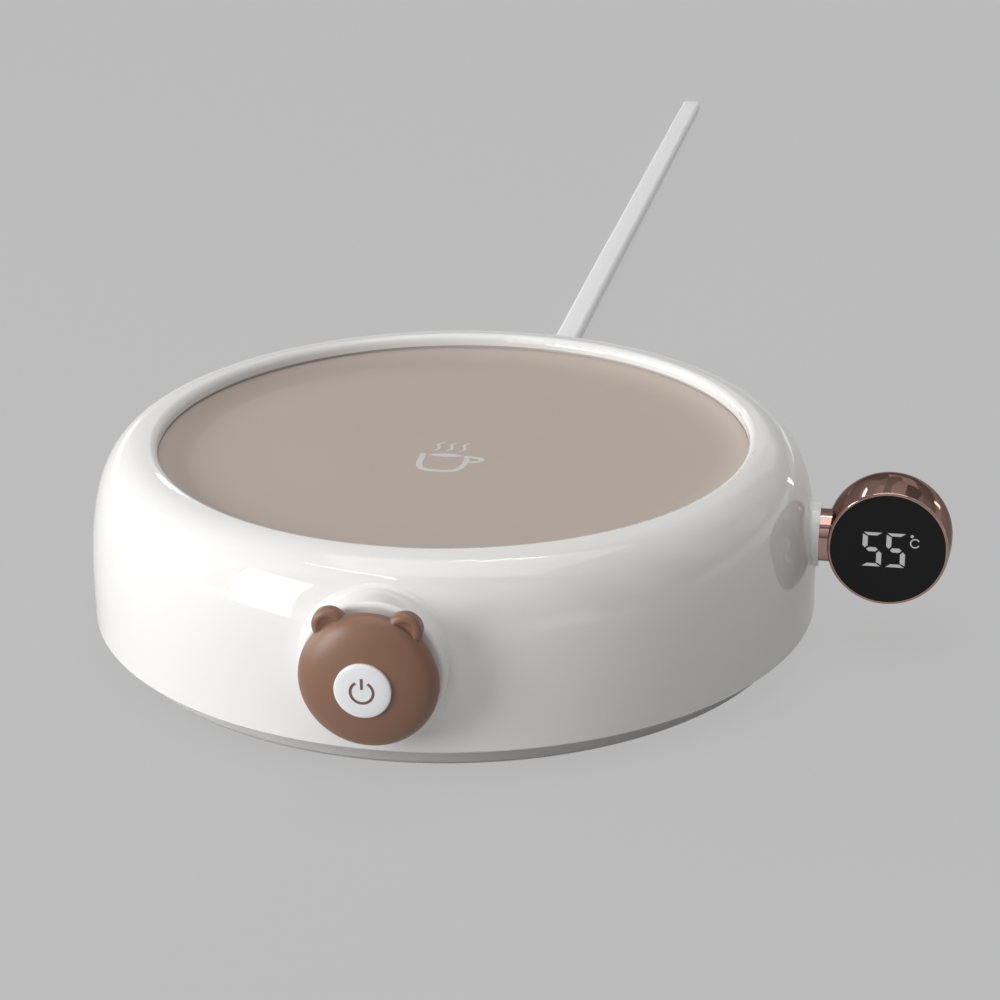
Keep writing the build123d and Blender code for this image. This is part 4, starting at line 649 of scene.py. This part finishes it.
def makePlateCup():
    shape = bmesh.new()
    addStroke(shape, plateMark["cup"], onPlate, plateMark["thickness"])
    addStroke(shape, plateMark["handle"], onPlate, plateMark["handleThickness"])
    addPlate(shape, plateMark["tea"], onPlate, plateMark["thickness"])
    finishMesh("plateCup", shape, "plateInk", "housing")


def makeSteam():
    tree, sizes = startTree("wispRow", {
        "Wisps": "NodeSocketInt", "Gap": "NodeSocketVector", "Finish": "NodeSocketMaterial"})
    row = addNode(tree, "GeometryNodeMeshLine", {},
                  {"Count": sizes["Wisps"], "Offset": sizes["Gap"]})
    wisps = addNode(tree, "GeometryNodeInstanceOnPoints", {},
                    {"Points": row.outputs[0], "Instance": sizes["Geometry"]})
    endTree(tree, wisps.outputs[0], sizes["Finish"])

    shape = bmesh.new()
    addStroke(shape, plateMark["steam"], onPlate, plateMark["thickness"])
    turn, gap = radians(plateMark["turn"]), plateMark["wispGap"]
    growPiece("plateSteam", closedMesh("wisp", shape), tree,
              {"Wisps": plateMark["wisps"], "Gap": point(gap * cos(turn), gap * sin(turn), 0),
               "Finish": made["plateInk"]}, "housing")


makePlateCup()
makeSteam()

# Lit digits behind the window's face, as seven-segment bars, in mm from the window's centre
digits = {
    "fives": 2,                        # how many digits, each a five
    "height": 6.13, "width": 3.2,
    "upright": 0.84, "rail": 0.54, "waist": 0.76,    # the bars' widths
    "mitre": (0.13, 0.32, 0.76),       # where the bars' slanted ends start from a corner
    "lean": 0.2,                       # how far a rail's ends lean, as a share of the first mitre
    "tip": 0.27, "taper": 0.4,         # the pointed ends
    "pitch": 3.93,
    "first": (-4.2, -3.18),            # lower left of the first digit
    "proud": 0.02,
    "degree": (3.94, 2.6, 0.27),       # the dot's centre and radius
    "dotSides": 16,
    "letter": (4.47, 1.34, 0.74, 0.22),     # its centre, radius and stroke
    "letterMouth": 30,                 # degrees each side of its opening
    "letterSteps": 12,
}


def makeDigits():
    shape = bmesh.new()
    low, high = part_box("display_window")
    midX, midZ, face = (low.x + high.x) / 2 / mm, (low.z + high.z) / 2 / mm, low.y / mm
    w, h, u, r = digits["width"], digits["height"], digits["upright"], digits["rail"]
    start, outer, inner = digits["mitre"]
    tip, taper, half = digits["tip"], digits["taper"], digits["waist"] / 2
    lean, mid = digits["lean"] * start, h / 2

    def onWindow(x, z, height):
        return point(midX + x, face - digits["proud"] * height, midZ + z)

    # each of the lower bars is an upper one turned half round
    rail = [(start, h), (w - lean, h), (w - u, h - r), (u + lean, h - r)]
    upright = [(0, h - outer), (u, h - inner), (u, mid + tip + taper), (u / 2, mid + tip),
               (0, mid + tip + taper)]
    waist = [(u - taper / 2, mid), (u + taper / 2, mid + half), (w - u - taper / 2, mid + half)]
    bars = [rail, upright, waist + [(w - x, h - z) for x, z in waist]]
    bars += [[(w - x, h - z) for x, z in bar] for bar in (rail, upright)]
    for place in range(digits["fives"]):
        left = digits["first"][0] + place * digits["pitch"]
        for outline in bars:
            addPlate(shape, [(left + x, digits["first"][1] + z) for x, z in outline], onWindow, 1.0)
    dotX, dotZ, dotRadius = digits["degree"]
    around = [2 * pi * i / digits["dotSides"] for i in range(digits["dotSides"])]
    addPlate(shape, [(dotX + dotRadius * cos(a), dotZ + dotRadius * sin(a)) for a in around],
             onWindow, 1.0)
    letterX, letterZ, radius, stroke = digits["letter"]
    mouth, steps = digits["letterMouth"], digits["letterSteps"]
    arc = [radians(mouth + (360 - 2 * mouth) * i / steps) for i in range(steps + 1)]
    addStroke(shape, [(letterX + radius * cos(a), letterZ + radius * sin(a), stroke) for a in arc],
              onWindow, 1.0)
    finishMesh("litDigits", shape, "displayLight", "display")


makeDigits()

# Power symbol on the button's disc
powerSymbol = {
    "radius": 1.75, "stroke": 0.42, "mouth": 32, "arcSteps": 16,
    "bar": (0.5, 1.2, 2.25),           # heights along it
    "proud": 0.03,
    "ahead": 5,                        # mm in front of the disc, from where its face is looked for
}


def makePowerSymbol():
    shape = bmesh.new()
    low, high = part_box("button_inlay")
    midX, midZ = (low.x + high.x) / 2 / mm, (low.z + high.z) / 2 / mm
    disc = frame["nodes"]["button_inlay"]

    def onDisc(x, z, height):
        start = point(midX + x, low.y / mm - powerSymbol["ahead"], midZ + z)
        place = disc.ray_cast(start, Vector((0, 1, 0)))[1]
        return place - Vector((0, powerSymbol["proud"] * height * mm, 0))

    radius, stroke = powerSymbol["radius"], powerSymbol["stroke"]
    mouth, steps = powerSymbol["mouth"], powerSymbol["arcSteps"]
    arc = [radians(90 + mouth + (360 - 2 * mouth) * i / steps) for i in range(steps + 1)]
    addStroke(shape, [(radius * cos(a), radius * sin(a), stroke) for a in arc], onDisc, 1.0)
    addStroke(shape, [(0, z, stroke) for z in powerSymbol["bar"]], onDisc, 1.0)
    finishMesh("powerSymbol", shape, "inlayInk", "button")


makePowerSymbol()
print("marks printed")


# Screws that hold the base: pan heads with a cross recess, sunk in the base's counterbores
baseScrews = {
    "count": 4,
    "firstAngle": 45,                  # degrees
    # half the screw's outline from the head's middle to the tip, in mm: (radius, height)
    "outline": [(0, -1.8), (1.1, -1.77), (1.75, -1.6), (2.2, -1.2), (2.4, -0.7), (2.4, 0),
                (1.3, 0), (1.3, 10.2), (0.5, 11.2), (0, 11.2)],
    "sides": 32,
    "crossLength": 2.6, "crossWidth": 0.62, "crossDepth": 0.9,
    "seed": 7,                         # how far each screw happens to be turned
}


def makeBaseScrews():
    tree, sizes = startTree("screwCircle", {
        "Screws": "NodeSocketInt", "Circle": "NodeSocketFloat", "First angle": "NodeSocketFloat",
        "Seat": "NodeSocketFloat", "Head face": "NodeSocketFloat",
        "Cross length": "NodeSocketFloat", "Cross width": "NodeSocketFloat",
        "Cross depth": "NodeSocketFloat", "Seed": "NodeSocketInt", "Finish": "NodeSocketMaterial"})
    # the recess: two crossed bars, half of whose height is in the head
    bars = []
    height = addNode(tree, "ShaderNodeMath", {"operation": "MULTIPLY", 1: 2.0},
                     {0: sizes["Cross depth"]})
    for x, y in (("Cross length", "Cross width"), ("Cross width", "Cross length")):
        size = addNode(tree, "ShaderNodeCombineXYZ", {},
                       {"X": sizes[x], "Y": sizes[y], "Z": height.outputs[0]})
        bars.append(addNode(tree, "GeometryNodeMeshCube", {}, {"Size": size.outputs[0]}).outputs[0])
    toFace = addNode(tree, "ShaderNodeCombineXYZ", {}, {"Z": sizes["Head face"]})
    cuts = [addNode(tree, "GeometryNodeTransform", {},
                    {"Geometry": bar, "Translation": toFace.outputs[0]}).outputs[0] for bar in bars]
    screw = addNode(tree, "GeometryNodeMeshBoolean", {"operation": "DIFFERENCE", "solver": "EXACT"},
                    {"Mesh 1": sizes["Geometry"]})
    for cut in cuts:
        tree.links.new(cut, screw.inputs["Mesh 2"])
    # one on each point of the circle
    circle = addNode(tree, "GeometryNodeMeshCircle", {},
                     {"Vertices": sizes["Screws"], "Radius": sizes["Circle"]})
    firstTurn = addNode(tree, "ShaderNodeCombineXYZ", {}, {"Z": sizes["First angle"]})
    rotation = addNode(tree, "FunctionNodeEulerToRotation", {}, {0: firstTurn.outputs[0]})
    toSeat = addNode(tree, "ShaderNodeCombineXYZ", {}, {"Z": sizes["Seat"]})
    seats = addNode(tree, "GeometryNodeTransform", {},
                    {"Geometry": circle.outputs[0], "Translation": toSeat.outputs[0],
                     "Rotation": rotation.outputs[0]})
    ownTurn = addNode(tree, "FunctionNodeRandomValue",
                      {"data_type": "FLOAT_VECTOR", 0: (0, 0, 0), 1: (0, 0, pi / 2)},
                      {"Seed": sizes["Seed"]})
    ownRotation = addNode(tree, "FunctionNodeEulerToRotation", {}, {0: ownTurn.outputs[0]})
    screws = addNode(tree, "GeometryNodeInstanceOnPoints", {},
                     {"Points": seats.outputs[0], "Instance": screw.outputs[0],
                      "Rotation": ownRotation.outputs[0]})
    endTree(tree, screws.outputs[0], sizes["Finish"])

    shape = bmesh.new()
    sides, rings = baseScrews["sides"], []
    for radius, z in baseScrews["outline"]:
        turns = range(sides if radius else 1)
        rings.append([shape.verts.new(point(radius * cos(2 * pi * i / sides),
                                            radius * sin(2 * pi * i / sides), z)) for i in turns])
    for a, b in zip(rings, rings[1:]):
        for i in range(sides):
            j = (i + 1) % sides
            corners = [a[i % len(a)], a[j % len(a)], b[j % len(b)], b[i % len(b)]]
            shape.faces.new(list(dict.fromkeys(corners)))
    low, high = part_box("base_screws")
    head = max(radius for radius, z in baseScrews["outline"]) * mm
    face = baseScrews["outline"][0][1] * mm
    firstAngle = radians(baseScrews["firstAngle"])
    piece = growPiece("baseScrews", closedMesh("screw", shape), tree, {
        "Screws": baseScrews["count"], "Circle": (high.x - head) / cos(firstAngle),
        "First angle": firstAngle, "Seat": low.z - face, "Head face": face,
        "Cross length": baseScrews["crossLength"] * mm,
        "Cross width": baseScrews["crossWidth"] * mm,
        "Cross depth": baseScrews["crossDepth"] * mm, "Seed": baseScrews["seed"],
        "Finish": made["zincSteel"]}, "housing")
    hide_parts("base_screws")


makeBaseScrews()
print("base screws driven")


# Return spring behind the button, which on the real thing shortens as the button goes in: here a
# coil drawn at the length of its CAD box, given a mesh of its own where the button has a press
# joint
buttonSpring = {
    "turns": 5.0,
    "wire": 0.3,                       # the wire's radius, in mm
    "stepsPerTurn": 32, "stepsRound": 10,
}


def makeButtonSpring():
    tree, sizes = startTree("coil", {
        "Turns": "NodeSocketFloat", "Steps per turn": "NodeSocketInt",
        "Coil radius": "NodeSocketFloat", "Length": "NodeSocketFloat",
        "Start": "NodeSocketVector", "Wire radius": "NodeSocketFloat",
        "Steps round": "NodeSocketInt", "Finish": "NodeSocketMaterial"})
    coil = addNode(tree, "GeometryNodeCurveSpiral", {},
                   {"Resolution": sizes["Steps per turn"], "Rotations": sizes["Turns"],
                    "Start Radius": sizes["Coil radius"], "End Radius": sizes["Coil radius"],
                    "Height": sizes["Length"]})
    laid = addNode(tree, "GeometryNodeTransform", {"Rotation": (-pi / 2, 0, 0)},
                   {"Geometry": coil.outputs[0], "Translation": sizes["Start"]})
    wire = addNode(tree, "GeometryNodeCurvePrimitiveCircle", {},
                   {"Resolution": sizes["Steps round"], "Radius": sizes["Wire radius"]})
    drawn = addNode(tree, "GeometryNodeCurveToMesh", {"Fill Caps": True},
                    {"Curve": laid.outputs[0], "Profile Curve": wire.outputs[0]})
    endTree(tree, drawn.outputs[0], sizes["Finish"])

    low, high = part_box("button_spring")
    wire = buttonSpring["wire"] * mm
    midX, midZ = (low.x + high.x) / 2, (low.z + high.z) / 2
    length = high.y - low.y
    piece = growPiece("buttonSpring", bpy.data.meshes.new("coil"), tree, {
        "Turns": buttonSpring["turns"], "Steps per turn": buttonSpring["stepsPerTurn"],
        "Coil radius": (high.x - low.x) / 2 - wire, "Length": length - 2 * wire,
        "Start": Vector((midX, low.y + wire, midZ)), "Wire radius": wire,
        "Steps round": buttonSpring["stepsRound"], "Finish": made["springWire"]},
        "housing")
    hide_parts("button_spring")
    for joint in frame["record"]["behaviour"]["joints"]:
        if joint["name"] == "button_press":
            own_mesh(piece)


makeButtonSpring()
print("spring coiled")
